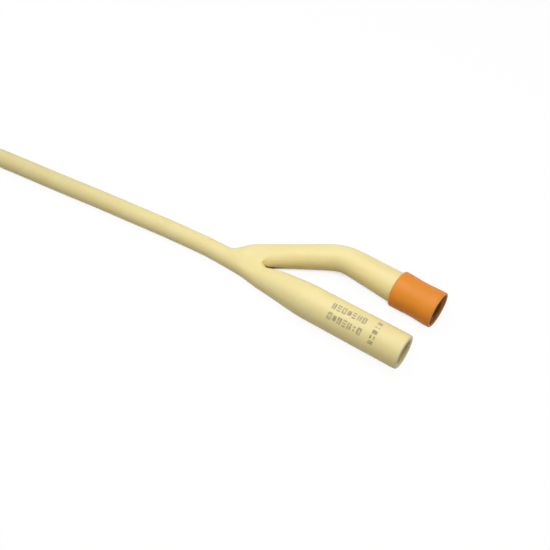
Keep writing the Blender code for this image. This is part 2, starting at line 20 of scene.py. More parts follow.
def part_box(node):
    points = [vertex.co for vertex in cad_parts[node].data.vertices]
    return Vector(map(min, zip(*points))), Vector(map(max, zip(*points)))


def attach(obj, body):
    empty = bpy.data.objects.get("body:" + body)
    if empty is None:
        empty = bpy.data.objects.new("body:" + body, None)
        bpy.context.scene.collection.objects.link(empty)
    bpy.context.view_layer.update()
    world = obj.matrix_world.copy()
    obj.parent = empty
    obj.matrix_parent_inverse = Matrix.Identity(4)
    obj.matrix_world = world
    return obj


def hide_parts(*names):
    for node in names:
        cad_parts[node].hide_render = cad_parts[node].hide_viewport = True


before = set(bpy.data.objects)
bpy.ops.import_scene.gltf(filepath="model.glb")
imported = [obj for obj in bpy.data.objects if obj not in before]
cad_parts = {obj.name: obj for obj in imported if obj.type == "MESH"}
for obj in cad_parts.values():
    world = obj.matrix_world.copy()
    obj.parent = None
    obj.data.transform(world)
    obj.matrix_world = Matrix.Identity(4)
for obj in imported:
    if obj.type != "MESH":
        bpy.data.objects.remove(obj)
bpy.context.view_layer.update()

BODY = "root"
MM = 0.001
HAIR = 0.000001
FORWARD = Vector((1.0, 0.0, 0.0))
CORNER_ANGLE = math.radians(55.0)
log = logging.getLogger("catheter")

Colour = tuple[float, float, float]
Inputs = dict[str | int, object]
Profile = Sequence[tuple[float, float]]
Ring = list[bmesh.types.BMVert]


class Slot(Enum):
    """The record's material slots."""

    LATEX = "latex"
    BALLOON = "balloon_latex"
    SLEEVE = "valve_rubber"
    PLUG = "plug_rubber"


class Mark(Enum):
    """Plain printed shapes, each one a set of strokes.

    A stroke is its middle along the row and across it, its turn in degrees and its length, in
    millimetres, in a cell that is about one wide and two high.
    """

    TWIN = ((-0.33, 0.0, 90.0, 1.95), (0.33, 0.0, 90.0, 1.95))
    FRAME = (
        (-0.38, 0.0, 90.0, 1.95), (0.38, 0.0, 90.0, 1.95),
        (0.0, 0.75, 0.0, 1.0), (0.0, -0.75, 0.0, 1.0),
    )
    LADDER = ((0.0, 0.74, 0.0, 1.15), (0.0, 0.0, 0.0, 1.15), (0.0, -0.74, 0.0, 1.15))
    BLOCK = ((-0.3, 0.0, 90.0, 1.5), (0.0, 0.0, 90.0, 1.5), (0.3, 0.0, 90.0, 1.5))
    DOTS = ((0.0, 0.45, 0.0, 0.5), (0.0, -0.45, 0.0, 0.5))
    PAIR = ((-0.27, 0.0, 90.0, 1.45), (0.27, 0.0, 90.0, 1.45))
    STEPS = ((0.0, 0.5, 0.0, 1.0), (0.0, -0.5, 0.0, 1.0))


# Node trees

class Graph:
    """A node tree in the making."""

    def __init__(self, tree: bpy.types.NodeTree) -> None:
        """Keep the tree that the nodes go into."""
        self.tree = tree

    def node(self, kind: str, inputs: Inputs | None = None, **settings: object) -> bpy.types.Node:
        """Add a node.

        Args:
            kind: The node's type.
            inputs: Values of its inputs, or the outputs that feed them, by name or number.
            **settings: The node's own settings.

        Returns:
            The new node.
        """
        made = self.tree.nodes.new(kind)
        for name, value in settings.items():
            setattr(made, name, value)
        for socket, value in (inputs or {}).items():
            self.feed(made.inputs[socket], value)
        return made

    def feed(self, socket: bpy.types.NodeSocket, value: object) -> None:
        """Set an input.

        Args:
            socket: The input.
            value: A plain value, or the output that feeds the input.
        """
        if isinstance(value, bpy.types.NodeSocket):
            self.tree.links.new(value, socket)
        else:
            socket.default_value = value

    def maths(self, operation: str, *values: object) -> bpy.types.NodeSocket:
        """Add a Math node.

        Args:
            operation: What it does.
            *values: Its inputs in order.

        Returns:
            Its output.
        """
        inputs = dict(enumerate(values))
        return self.node("ShaderNodeMath", inputs, operation=operation).outputs[0]

    def vector(self, operation: str, *values: object, output: str = "Vector") -> bpy.types.NodeSocket:
        """Add a Vector Math node.

        Args:
            operation: What it does.
            *values: Its inputs in order.
            output: The name of the output that is used.

        Returns:
            That output.
        """
        inputs = dict(enumerate(values))
        return self.node("ShaderNodeVectorMath", inputs, operation=operation).outputs[output]

    def scaled(self, value: object, factor: object) -> bpy.types.NodeSocket:
        """A vector times a number."""
        made = self.node("ShaderNodeVectorMath", {0: value, "Scale": factor}, operation="SCALE")
        return made.outputs["Vector"]

    def stretch(
        self, value: object, low: float, high: float, to_low: float, to_high: float,
    ) -> bpy.types.NodeSocket:
        """Map a range to another, and keep within it.

        Args:
            value: What is mapped.
            low: Start of the first range.
            high: End of the first range.
            to_low: Start of the second range.
            to_high: End of the second range.

        Returns:
            The mapped value's output.
        """
        inputs = {"Value": value, 1: low, 2: high, 3: to_low, 4: to_high}
        return self.node("ShaderNodeMapRange", inputs).outputs["Result"]

    def blend(self, share: object, first: object, second: object) -> bpy.types.NodeSocket:
        """Mix two colours.

        Args:
            share: How much of the second colour shows.
            first: The first colour.
            second: The second colour.

        Returns:
            The mixed colour's output.
        """
        made = self.node("ShaderNodeMix", data_type="RGBA")
        self.feed(made.inputs["Factor"], share)
        self.feed(made.inputs["A"], first)
        self.feed(made.inputs["B"], second)
        return next(out for out in made.outputs if out.type == "RGBA")

    def noise(self, place: object, **numbers: float) -> bpy.types.NodeSocket:
        """Add a Noise Texture.

        Args:
            place: The output that gives the place, in sizes of the noise.
            **numbers: Its number inputs.

        Returns:
            Its value's output.
        """
        inputs: Inputs = {"Vector": place, "Scale": 1.0, **numbers}
        return self.node("ShaderNodeTexNoise", inputs).outputs["Fac"]


class Group(Graph):
    """A shader node group with named inputs and outputs."""

    def __init__(self, name: str, numbers: dict[str, float], outputs: Sequence[str]) -> None:
        """Make the group.

        Args:
            name: The group's name.
            numbers: The number inputs and their usual values.
            outputs: The names of the number outputs.
        """
        super().__init__(bpy.data.node_groups.new(name, "ShaderNodeTree"))
        face = self.tree.interface
        face.new_socket("Place", in_out="INPUT", socket_type="NodeSocketVector")
        for label, value in numbers.items():
            socket = face.new_socket(label, in_out="INPUT", socket_type="NodeSocketFloat")
            socket.default_value = value
        for label in outputs:
            face.new_socket(label, in_out="OUTPUT", socket_type="NodeSocketFloat")
        self.inlet = self.tree.nodes.new("NodeGroupInput").outputs
        self.outlet = self.tree.nodes.new("NodeGroupOutput").inputs

    def place_in(self, size: str) -> bpy.types.NodeSocket:
        """The place, measured in one of the number inputs."""
        return self.scaled(self.inlet["Place"], self.maths("DIVIDE", 1.0, self.inlet[size]))


class Effects:
    """Surface effects that several finishes use, as shader node groups.

    The values of the class are shares of the size of a pit or a spot, and levels of their noise.
    """

    PIT_SPREAD = 0.28
    PIT_WIDTH = 0.16
    SPOT_LEVEL = 0.7
    SPOT_REACH = 0.6
    SPOT_EDGE = 0.16

    def __init__(self) -> None:
        """Build the groups once."""
        self.clouds = self.make_clouds()
        self.skin = self.make_skin()
        self.handling = self.make_handling()

    def make_clouds(self) -> bpy.types.NodeTree:
        """Soft uneven patches, as in a dipped film of uneven depth.

        Returns:
            The group.
        """
        group = Group("uneven_depth", {"Patch": 0.006, "Contrast": 1.0}, ["Mask"])
        broad = group.noise(group.place_in("Patch"), Detail=3.0, Roughness=0.55)
        centred = group.maths("MULTIPLY", group.maths("SUBTRACT", broad, 0.5), group.inlet["Contrast"])
        mask = group.node("ShaderNodeClamp", {"Value": group.maths("ADD", centred, 0.5)})
        group.feed(group.outlet["Mask"], mask.outputs["Result"])
        return group.tree

    def make_skin(self) -> bpy.types.NodeTree:
        """The fine skin of rubber from a mould or a dip: a soft ripple with a few pits.

        Returns:
            The group.
        """
        group = Group("rubber_skin", {"Grain": 0.00035, "Pits": 0.3}, ["Height"])
        place = group.place_in("Grain")
        ripple = group.noise(place, Detail=2.0, Roughness=0.5)
        cells = group.node("ShaderNodeTexVoronoi", {"Vector": place, "Scale": self.PIT_SPREAD})
        pit = group.stretch(cells.outputs["Distance"], 0.0, self.PIT_WIDTH, 1.0, 0.0)
        sunk = group.maths("MULTIPLY", pit, group.inlet["Pits"])
        group.feed(group.outlet["Height"], group.maths("SUBTRACT", ripple, sunk))
        return group.tree

    def make_handling(self) -> bpy.types.NodeTree:
        """Faint rubbed and powdered spots from packing and handling.

        Returns:
            The group.
        """
        group = Group("handling", {"Spot": 0.004, "Reach": 0.5}, ["Mask"])
        rough = group.noise(group.place_in("Spot"), Detail=5.0, Roughness=0.7, Distortion=0.6)
        reach = group.maths("MULTIPLY", group.inlet["Reach"], self.SPOT_REACH)
        edge = group.maths("SUBTRACT", 1.0, reach)
        over = group.maths("SUBTRACT", rough, group.maths("MULTIPLY", edge, self.SPOT_LEVEL))
        group.feed(group.outlet["Mask"], group.stretch(over, 0.0, self.SPOT_EDGE, 0.0, 1.0))
        return group.tree


# Finishes

class Finish:
    """Base of the finishes: a material around one Principled shader."""

    def __init__(self, name: str) -> None:
        """Start a material.

        Args:
            name: The material's name.
        """
        self.material = bpy.data.materials.new(name)
        self.material.use_nodes = True
        self.graph = Graph(self.material.node_tree)
        self.shader = self.material.node_tree.nodes["Principled BSDF"]
        self.place = self.graph.node("ShaderNodeTexCoord").outputs["Object"]

    def set(self, **values: object) -> None:
        """Set the shader's inputs, with underscores for the spaces of their names."""
        for name, value in values.items():
            self.graph.feed(self.shader.inputs[name.replace("_", " ")], value)

    def effect(
        self, tree: bpy.types.NodeTree, output: str, place: object = None, **numbers: float,
    ) -> bpy.types.NodeSocket:
        """Place a shared group.

        Args:
            tree: The group.
            output: The name of the output that is used.
            place: Where the pattern reads its place, the object's own by default.
            **numbers: The values of its inputs.

        Returns:
            That output.
        """
        inputs: Inputs = {"Place": self.place if place is None else place, **numbers}
        return self.graph.node("ShaderNodeGroup", inputs, node_tree=tree).outputs[output]

    def satin(self, base: float, *shares: tuple[object, float]) -> bpy.types.NodeSocket:
        """Vary the roughness by masks.

        Args:
            base: The roughness where no mask shows.
            *shares: Each mask and how much it adds.

        Returns:
            The roughness's output.
        """
        for mask, share in shares:
            base = self.graph.maths("ADD", base, self.graph.maths("MULTIPLY", mask, share))
        return base

    def bump(self, height: object, distance: float, strength: float) -> None:
        """Raise the surface by a height.

        Args:
            height: The output that gives the height from 0 to 1.
            distance: How high 1 stands, in metres.
            strength: How strongly it shows.
        """
        inputs = {"Height": height, "Distance": distance, "Strength": strength}
        self.set(Normal=self.graph.node("ShaderNodeBump", inputs).outputs["Normal"])

    def attribute(self, name: str) -> bpy.types.NodeSocket:
        """A number that the mesh carries."""
        return self.graph.node("ShaderNodeAttribute", attribute_name=name).outputs["Fac"]


def opaque(colour: Colour) -> tuple[float, float, float, float]:
    """A colour with full cover."""
    return (*colour, 1.0)


@dataclass(frozen=True)
class Latex:
    """Cream latex, dipped or moulded, with a satin skin and a little depth."""

    name: str
    body: Colour = (0.86, 0.735, 0.335)
    pale: Colour = (0.90, 0.785, 0.40)
    deep: Colour = (0.80, 0.665, 0.275)
    patch: float = 0.007
    grain: float = 0.00032
    streak: float = 0.25
    skin_depth: float = 0.000008
    roughness: float = 0.41
    depth: float = 0.0010
    glow: float = 0.18
    cut_at: float | None = None
    cut_depth: float = 0.0006
    # Paler colour at the mouth's cut face: partly the cut latex's own tone, partly a painted highlight
    # on the lip.
    cut_face_highlight: Colour = (0.94, 0.86, 0.57)
    cut_face_highlight_share: float = 0.85
    # The colour of the painted shade in the narrow start of the gap between the limbs.
    shade: Colour = (0.10, 0.08, 0.03)
    powder: Colour = (0.90, 0.82, 0.56)
    powder_share: float = 0.16
    run_size: float = 0.4
    run_levels: tuple[float, float] = (0.35, 0.85)
    run_share: float = 0.28
    run_height: float = 2.2

    def make(self, effects: Effects, along_tube: bool = False) -> bpy.types.Material:
        """Build the material.

        Args:
            effects: The shared node groups.
            along_tube: Whether the mesh carries its place along and around a tube.

        Returns:
            The material.
        """
        finish = Finish(self.name)
        graph = finish.graph
        drawn = self.tube_place(finish) if along_tube else self.limb_place(finish)
        clouds = finish.effect(effects.clouds, "Mask", Patch=self.patch, Contrast=1.7)
        narrow = self.patch * self.run_size
        runs = finish.effect(effects.clouds, "Mask", drawn, Patch=narrow, Contrast=1.4)
        spots = finish.effect(effects.handling, "Mask", Spot=0.005, Reach=0.5)
        tone = graph.blend(clouds, opaque(self.deep), opaque(self.pale))
        tone = graph.blend(0.5, opaque(self.body), tone)
        thick = graph.stretch(runs, *self.run_levels, 0.0, self.run_share)
        tone = graph.blend(thick, tone, opaque(self.pale))
        tone = graph.blend(graph.maths("MULTIPLY", spots, self.powder_share), tone, opaque(self.powder))
        # Paler towards the mouth's face: partly the cut latex's own tone, partly a painted highlight.
        if self.cut_at is not None:
            reach = graph.node("ShaderNodeSeparateXYZ", {0: finish.place}).outputs["X"]
            face = graph.stretch(reach, self.cut_at - self.cut_depth, self.cut_at, 0.0, self.cut_face_highlight_share)
            tone = graph.blend(face, tone, opaque(self.cut_face_highlight))
            # Painted shade deep in the narrow start of the gap between the limbs.
            tone = graph.blend(finish.attribute("gap_shade"), tone, opaque(self.shade))
        satin = finish.satin(self.roughness, (clouds, 0.1), (spots, 0.12))
        skin = finish.effect(effects.skin, "Height", Grain=self.grain, Pits=0.25)
        waves = graph.maths("MULTIPLY", runs, self.run_height)
        finish.bump(graph.maths("ADD", skin, waves), distance=self.skin_depth, strength=0.6)
        finish.set(
            Base_Color=tone, Roughness=satin, IOR=1.45, Subsurface_Weight=self.glow,
            Subsurface_Radius=(1.0, 0.62, 0.28), Subsurface_Scale=self.depth,
        )
        return finish.material

    def limb_place(self, finish: Finish) -> bpy.types.NodeSocket:
        """A place drawn out along the limbs, for the runs of the dip."""
        inputs = {"Vector": finish.place, "Scale": (self.streak, 1.0, 1.0)}
        return finish.graph.node("ShaderNodeMapping", inputs).outputs["Vector"]

    def tube_place(self, finish: Finish) -> bpy.types.NodeSocket:
        """A place drawn out along a tube, from what its mesh carries.

        Args:
            finish: The finish that reads it.

        Returns:
            The place's output.
        """
        graph = finish.graph
        turn = graph.maths("MULTIPLY", finish.attribute("around"), 2.0 * math.pi)
        reach = graph.maths("MULTIPLY", finish.attribute("along"), self.streak)
        side = graph.maths("MULTIPLY", graph.maths("COSINE", turn), self.patch / 2.0)
        rise = graph.maths("MULTIPLY", graph.maths("SINE", turn), self.patch / 2.0)
        return graph.node("ShaderNodeCombineXYZ", {0: reach, 1: side, 2: rise}).outputs["Vector"]


@dataclass(frozen=True)
class MouldedRubber:
    """Coloured rubber from a mould, with a pale outer lip as a painted highlight and a darker inner edge
    as painted shade.
    """

    name: str
    body: Colour
    pale: Colour
    # rim: the darker colour of the painted shade at the mouth's face and inner edge, and of rubbed
    # spots.
    rim: Colour
    # edge: the pale colour of the painted highlight on the outer lip.
    edge: Colour = (0.84, 0.50, 0.26)
    pale_share: float = 0.55
    rubbed_share: float = 0.10
    rim_shade_share: float = 0.85
    lip_highlight_share: float = 0.8
    grain: float = 0.0003
    roughness: float = 0.42
    skin_depth: float = 0.000014
    sheen: float = 0.35
    glow: float = 0.06

    def make(self, effects: Effects) -> bpy.types.Material:
        """Build the material.

        Args:
            effects: The shared node groups.

        Returns:
            The material.
        """
        finish = Finish(self.name)
        graph = finish.graph
        clouds = finish.effect(effects.clouds, "Mask", Patch=0.0045, Contrast=1.6)
        spots = finish.effect(effects.handling, "Mask", Spot=0.003, Reach=0.55)
        mixed = graph.maths("MULTIPLY", clouds, self.pale_share)
        tone = graph.blend(mixed, opaque(self.body), opaque(self.pale))
        tone = graph.blend(graph.maths("MULTIPLY", spots, self.rubbed_share), tone, opaque(self.rim))
        # Painted shade towards the mouth's inner edge, then a painted highlight on the outer lip.
        rim = finish.attribute("rim")
        tone = graph.blend(graph.stretch(rim, 0.0, 1.0, 0.0, self.rim_shade_share), tone, opaque(self.rim))
        tone = graph.blend(graph.stretch(rim, -1.0, 0.0, self.lip_highlight_share, 0.0), tone, opaque(self.edge))
        satin = finish.satin(self.roughness, (clouds, 0.1), (spots, 0.1))
        skin = finish.effect(effects.skin, "Height", Grain=self.grain, Pits=0.35)
        finish.bump(skin, distance=self.skin_depth, strength=0.6)
        finish.set(
            Base_Color=tone, Roughness=satin, IOR=1.48, Specular_IOR_Level=self.sheen,
            Subsurface_Weight=self.glow, Subsurface_Radius=(1.0, 0.35, 0.1), Subsurface_Scale=0.0008,
        )
        return finish.material


@dataclass(frozen=True)
class PrintInk:
    """Grey-olive printing ink, thin and partly rubbed off."""

    name: str = "print_ink"
    ink: Colour = (0.25, 0.215, 0.12)
    under: Colour = (0.74, 0.63, 0.32)
    rubbed_share: float = 0.5
    thin_share: float = 0.3

    def make(self, effects: Effects) -> bpy.types.Material:
        """Build the material.

        Args:
            effects: The shared node groups.

        Returns:
            The material.
        """
        finish = Finish(self.name)
        graph = finish.graph
        rubbed = finish.effect(effects.handling, "Mask", Spot=0.0012, Reach=0.75)
        thin = finish.effect(effects.clouds, "Mask", Patch=0.0016, Contrast=1.8)
        worn = graph.maths("MULTIPLY", rubbed, self.rubbed_share)
        worn = graph.maths("ADD", worn, graph.maths("MULTIPLY", thin, self.thin_share))
        tone = graph.blend(worn, opaque(self.ink), opaque(self.under))
        skin = finish.effect(effects.skin, "Height", Grain=0.00018, Pits=0.4)
        finish.bump(skin, distance=0.000008, strength=0.5)
        finish.set(Base_Color=tone, Roughness=finish.satin(0.52, (rubbed, 0.12)), IOR=1.45)
        return finish.material


# Meshes and pieces

def link(name: str, data: bpy.types.ID) -> bpy.types.Object:
    """Make an object and link it to the scene.

    Args:
        name: Its name.
        data: Its mesh, camera or light.

    Returns:
        The object.
    """
    obj = bpy.data.objects.new(name, data)
    bpy.context.scene.collection.objects.link(obj)
    return obj


def plain(obj: bpy.types.Object) -> bpy.types.Object:
    """Apply an object's modifiers.

    Args:
        obj: The object, with its modifiers.

    Returns:
        The same object with a plain mesh and no modifier.
    """
    graph = bpy.context.evaluated_depsgraph_get()
    data = bpy.data.meshes.new_from_object(obj.evaluated_get(graph), depsgraph=graph)
    obj.modifiers.clear()
    obj.data = data
    data.name = obj.name
    return obj


def smoothed(obj: bpy.types.Object, fineness: int) -> bpy.types.Object:
    """Turn an object's cage into its smooth surface.

    Args:
        obj: The object with its cage.
        fineness: How many times its faces are divided.

    Returns:
        The same object with a plain mesh.
    """
    smooth = obj.modifiers.new("smooth", "SUBSURF")
    smooth.levels = smooth.render_levels = fineness
    return plain(obj)


def cage_spread(sides: int) -> float:
    """How many times wider a cage's ring is than the smooth ring that it gives."""
    return 1.0 / (2.0 / 3.0 + math.cos(2.0 * math.pi / sides) / 3.0)


def from_bmesh(name: str, mesh: bmesh.types.BMesh) -> bpy.types.Object:
    """Turn a finished bmesh into an object with smooth, outward faces.

    Args:
        name: The object's name.
        mesh: The bmesh, which is freed.

    Returns:
        The object.
    """
    bmesh.ops.recalc_face_normals(mesh, faces=mesh.faces)
    data = bpy.data.meshes.new(name)
    mesh.to_mesh(data)
    mesh.free()
    data.shade_smooth()
    return link(name, data)


def chain(mesh: bmesh.types.BMesh, rings: Sequence[Ring]) -> None:
    """Make faces between each closed ring and the next.

    Args:
        mesh: The mesh.
        rings: Rings of as many points each.
    """
    for first, second in zip(rings, rings[1:]):
        for k in range(len(first)):
            after = (k + 1) % len(first)
            mesh.faces.new((first[k], first[after], second[after], second[k]))


def stand_in(obj: bpy.types.Object, node: str, slot: Slot) -> None:
    """Let a finished piece stand for its CAD node.

    Args:
        obj: The piece.
        node: The node that it replaces.
        slot: The record's slot for the piece; not used.
    """
    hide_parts(node)
    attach(obj, BODY)
    report(obj)


def report(obj: bpy.types.Object) -> None:
    """Log a piece's name and its triangles."""
    obj.data.calc_loop_triangles()
    log.info("%s: %d triangles", obj.name, len(obj.data.loop_triangles))


def across(first: float, second: float, share: float) -> float:
    """The value at a share of the way between two."""
    return first + (second - first) * share


@dataclass
class Turning:
    """An axis that profiles are turned about."""

    place: Vector
    direction: Vector
    steps: int = 128

    def turn(
        self, name: str, profile: Profile, press: Callable[[Vector], Vector] | None = None,
        marks: Callable[[float, float], float] | None = None,
    ) -> bpy.types.Object:
        """Turn a profile into a closed solid.

        Args:
            name: The object's name.
            profile: Pairs of radius and height, all round the section, or from axis to axis.
            press: Moves a point of the unplaced shape, for details that aren't round.
            marks: Gives a point's place on a rim, from radius and height: -1 on the outer lip,
                1 on the inner edge and 0 elsewhere.

        Returns:
            The object, with its place in its mesh.
        """
        mesh = bmesh.new()
        rim = mesh.verts.layers.float.new("rim")
        rings = [self.ring(mesh, radius, height) for radius, height in profile]
        for (radius, height), ring in zip(profile, rings):
            for vert in ring:
                vert[rim] = marks(radius, height) if marks else 0.0
        closed = profile[0][0] > 0.0
        following = rings[1:] + ([rings[0]] if closed else [])
        for first, second in zip(rings, following):
            self.band(mesh, first, second)
        if press:
            for vert in mesh.verts:
                vert.co = press(vert.co.copy())
        turned = self.direction.to_track_quat("Z", "Y").to_matrix().to_4x4()
        bmesh.ops.transform(mesh, matrix=Matrix.Translation(self.place) @ turned, verts=mesh.verts)
        return from_bmesh(name, mesh)

    def ring(self, mesh: bmesh.types.BMesh, radius: float, height: float) -> Ring:
        """Turn one point of a profile.

        Args:
            mesh: The mesh that the ring goes into.
            radius: The point's radius.
            height: Its height.

        Returns:
            The ring's points, one only on the axis.
        """
        count = self.steps if radius > 0.0 else 1
        turns = [2.0 * math.pi * k / self.steps for k in range(count)]
        return [mesh.verts.new((radius * math.cos(t), radius * math.sin(t), height)) for t in turns]

    def band(self, mesh: bmesh.types.BMesh, first: Ring, second: Ring) -> None:
        """Make faces between two rings.

        Args:
            mesh: The mesh.
            first: A ring, or the one point of a pole.
            second: The next ring or pole.
        """
        for k in range(self.steps):
            after = (k + 1) % self.steps
            corners = [first[k % len(first)], first[after % len(first)]]
            corners += [second[after % len(second)], second[k % len(second)]]
            mesh.faces.new(list(dict.fromkeys(corners)))


def rounded(
    centre: tuple[float, float], radius: float, start: float, stop: float, steps: int = 6,
) -> list[tuple[float, float]]:
    """Points of a rounded corner in a profile.

    Args:
        centre: Radius and height of the corner's middle.
        radius: How round it is.
        start: Where it starts, in degrees.
        stop: Where it ends, in degrees.
        steps: How many steps it has.

    Returns:
        Pairs of radius and height.
    """
    turns = [math.radians(across(start, stop, k / steps)) for k in range(steps + 1)]
    return [(centre[0] + radius * math.cos(t), centre[1] + radius * math.sin(t)) for t in turns]


class Rule(Graph):
    """A geometry node tree with named inputs for its sizes."""

    def __init__(self, name: str) -> None:
        """Start a tree with its mesh input and output.

        Args:
            name: The tree's name.
        """
        super().__init__(bpy.data.node_groups.new(name, "GeometryNodeTree"))
        face = self.tree.interface
        face.new_socket("Geometry", in_out="INPUT", socket_type="NodeSocketGeometry")
        face.new_socket("Geometry", in_out="OUTPUT", socket_type="NodeSocketGeometry")
        self.inlet = self.tree.nodes.new("NodeGroupInput")
        self.outlet = self.tree.nodes.new("NodeGroupOutput")
        self.sizes: dict[str, tuple[str, object]] = {}

    def size(self, name: str, value: object, kind: str = "NodeSocketFloat") -> bpy.types.NodeSocket:
        """Add a named input.

        Args:
            name: The input's name.
            value: Its value for this piece.
            kind: Its socket type.

        Returns:
            The output that gives it inside the tree.
        """
        socket = self.tree.interface.new_socket(name, in_out="INPUT", socket_type=kind)
        self.sizes[name] = (socket.identifier, value)
        return self.inlet.outputs[name]

    def named(self, name: str) -> bpy.types.NodeSocket:
        """A number that the input mesh carries."""
        made = self.node("GeometryNodeInputNamedAttribute", {"Name": name}, data_type="FLOAT")
        return made.outputs["Attribute"]

    def position(self) -> bpy.types.NodeSocket:
        """The place of each point."""
        return self.node("GeometryNodeInputPosition").outputs["Position"]

    def close(self, geometry: bpy.types.NodeSocket, material: bpy.types.Material) -> None:
        """End the tree.

        Args:
            geometry: The finished shape.
            material: Its material.
        """
        real = self.node("GeometryNodeRealizeInstances", {"Geometry": geometry})
        inputs = {"Geometry": real.outputs["Geometry"], "Material": material}
        made = self.node("GeometryNodeSetMaterial", inputs)
        self.feed(self.outlet.inputs["Geometry"], made.outputs["Geometry"])

    def run(self, obj: bpy.types.Object) -> bpy.types.Object:
        """Apply the tree to an object.

        Args:
            obj: The object whose mesh goes in.

        Returns:
            The object with its plain result.
        """
        modifier = obj.modifiers.new(self.tree.name, "NODES")
        modifier.node_group = self.tree
        for identifier, value in self.sizes.values():
            modifier[identifier] = value
        return plain(obj)


# The moulded funnel

@dataclass
class ArmLine:
    """Middle line of the inflation arm: straight runs with an arc at the knee."""

    branch: Vector
    sleeve: Vector
    sleeve_direction: Vector
    leaving: float = math.radians(30.2)
    toe_in: float = math.radians(4.5)
    bend: float = 0.010
    branch_diameter: float = 0.0057
    root_diameter: float = 0.00675
    root_reach: float = 0.0080
    knee_diameter: float = 0.0075
    end_diameter: float = 0.0088
    spigot: float = 0.0056

    def __post_init__(self) -> None:
        """Work out the knee and the lengths of the runs."""
        out = Vector((math.cos(self.leaving), math.sin(self.leaving)))
        back = Vector((math.cos(self.toe_in), -math.sin(self.toe_in)))
        reach = self.sleeve.xy - self.branch.xy
        knee = self.branch.xy + out * (reach.cross(back) / out.cross(back))
        share = (knee - self.branch.xy).length / reach.length
        self.knee = Vector((*knee, across(self.branch.z, self.sleeve.z, share)))
        self.first = (self.knee - self.branch).normalized()
        self.second = (self.sleeve - self.knee).normalized()
        turn = self.first.angle(self.second)
        self.trim = self.bend * math.tan(turn / 2.0)
        self.to_arc = (self.knee - self.branch).length - self.trim
        self.past_arc = self.to_arc + self.bend * turn
        self.to_sleeve = self.past_arc + (self.sleeve - self.knee).length - self.trim
        self.to_end = self.to_sleeve + self.spigot

    def at(self, distance: float) -> tuple[Vector, Vector]:
        """Follow the line.

        Args:
            distance: How far along it, from the branch.

        Returns:
            The point there and the direction.
        """
        if distance <= self.to_arc:
            return self.branch + self.first * distance, self.first
        if distance < self.past_arc:
            swept = (distance - self.to_arc) / self.bend
            inward = (self.second - self.first * self.first.dot(self.second)).normalized()
            point = self.knee - self.first * self.trim + self.first * (self.bend * math.sin(swept))
            point += inward * (self.bend * (1.0 - math.cos(swept)))
            return point, self.first * math.cos(swept) + inward * math.sin(swept)
        if distance < self.to_sleeve:
            return self.sleeve - self.second * (self.to_sleeve - distance), self.second
        return self.sleeve + self.sleeve_direction * (distance - self.to_sleeve), self.sleeve_direction

    def radius(self, distance: float) -> float:
        """Find the arm's outer radius.

        Args:
            distance: How far along the arm.

        Returns:
            The radius there.
        """
        middle = (self.to_arc + self.past_arc) / 2.0
        places = (0.0, self.root_reach, 0.5 * middle, middle, self.to_sleeve)
        sizes = (
            self.branch_diameter, self.root_diameter, self.root_diameter, self.knee_diameter,
            self.end_diameter,
        )
        return float(np.interp(distance, places, sizes)) / 2.0


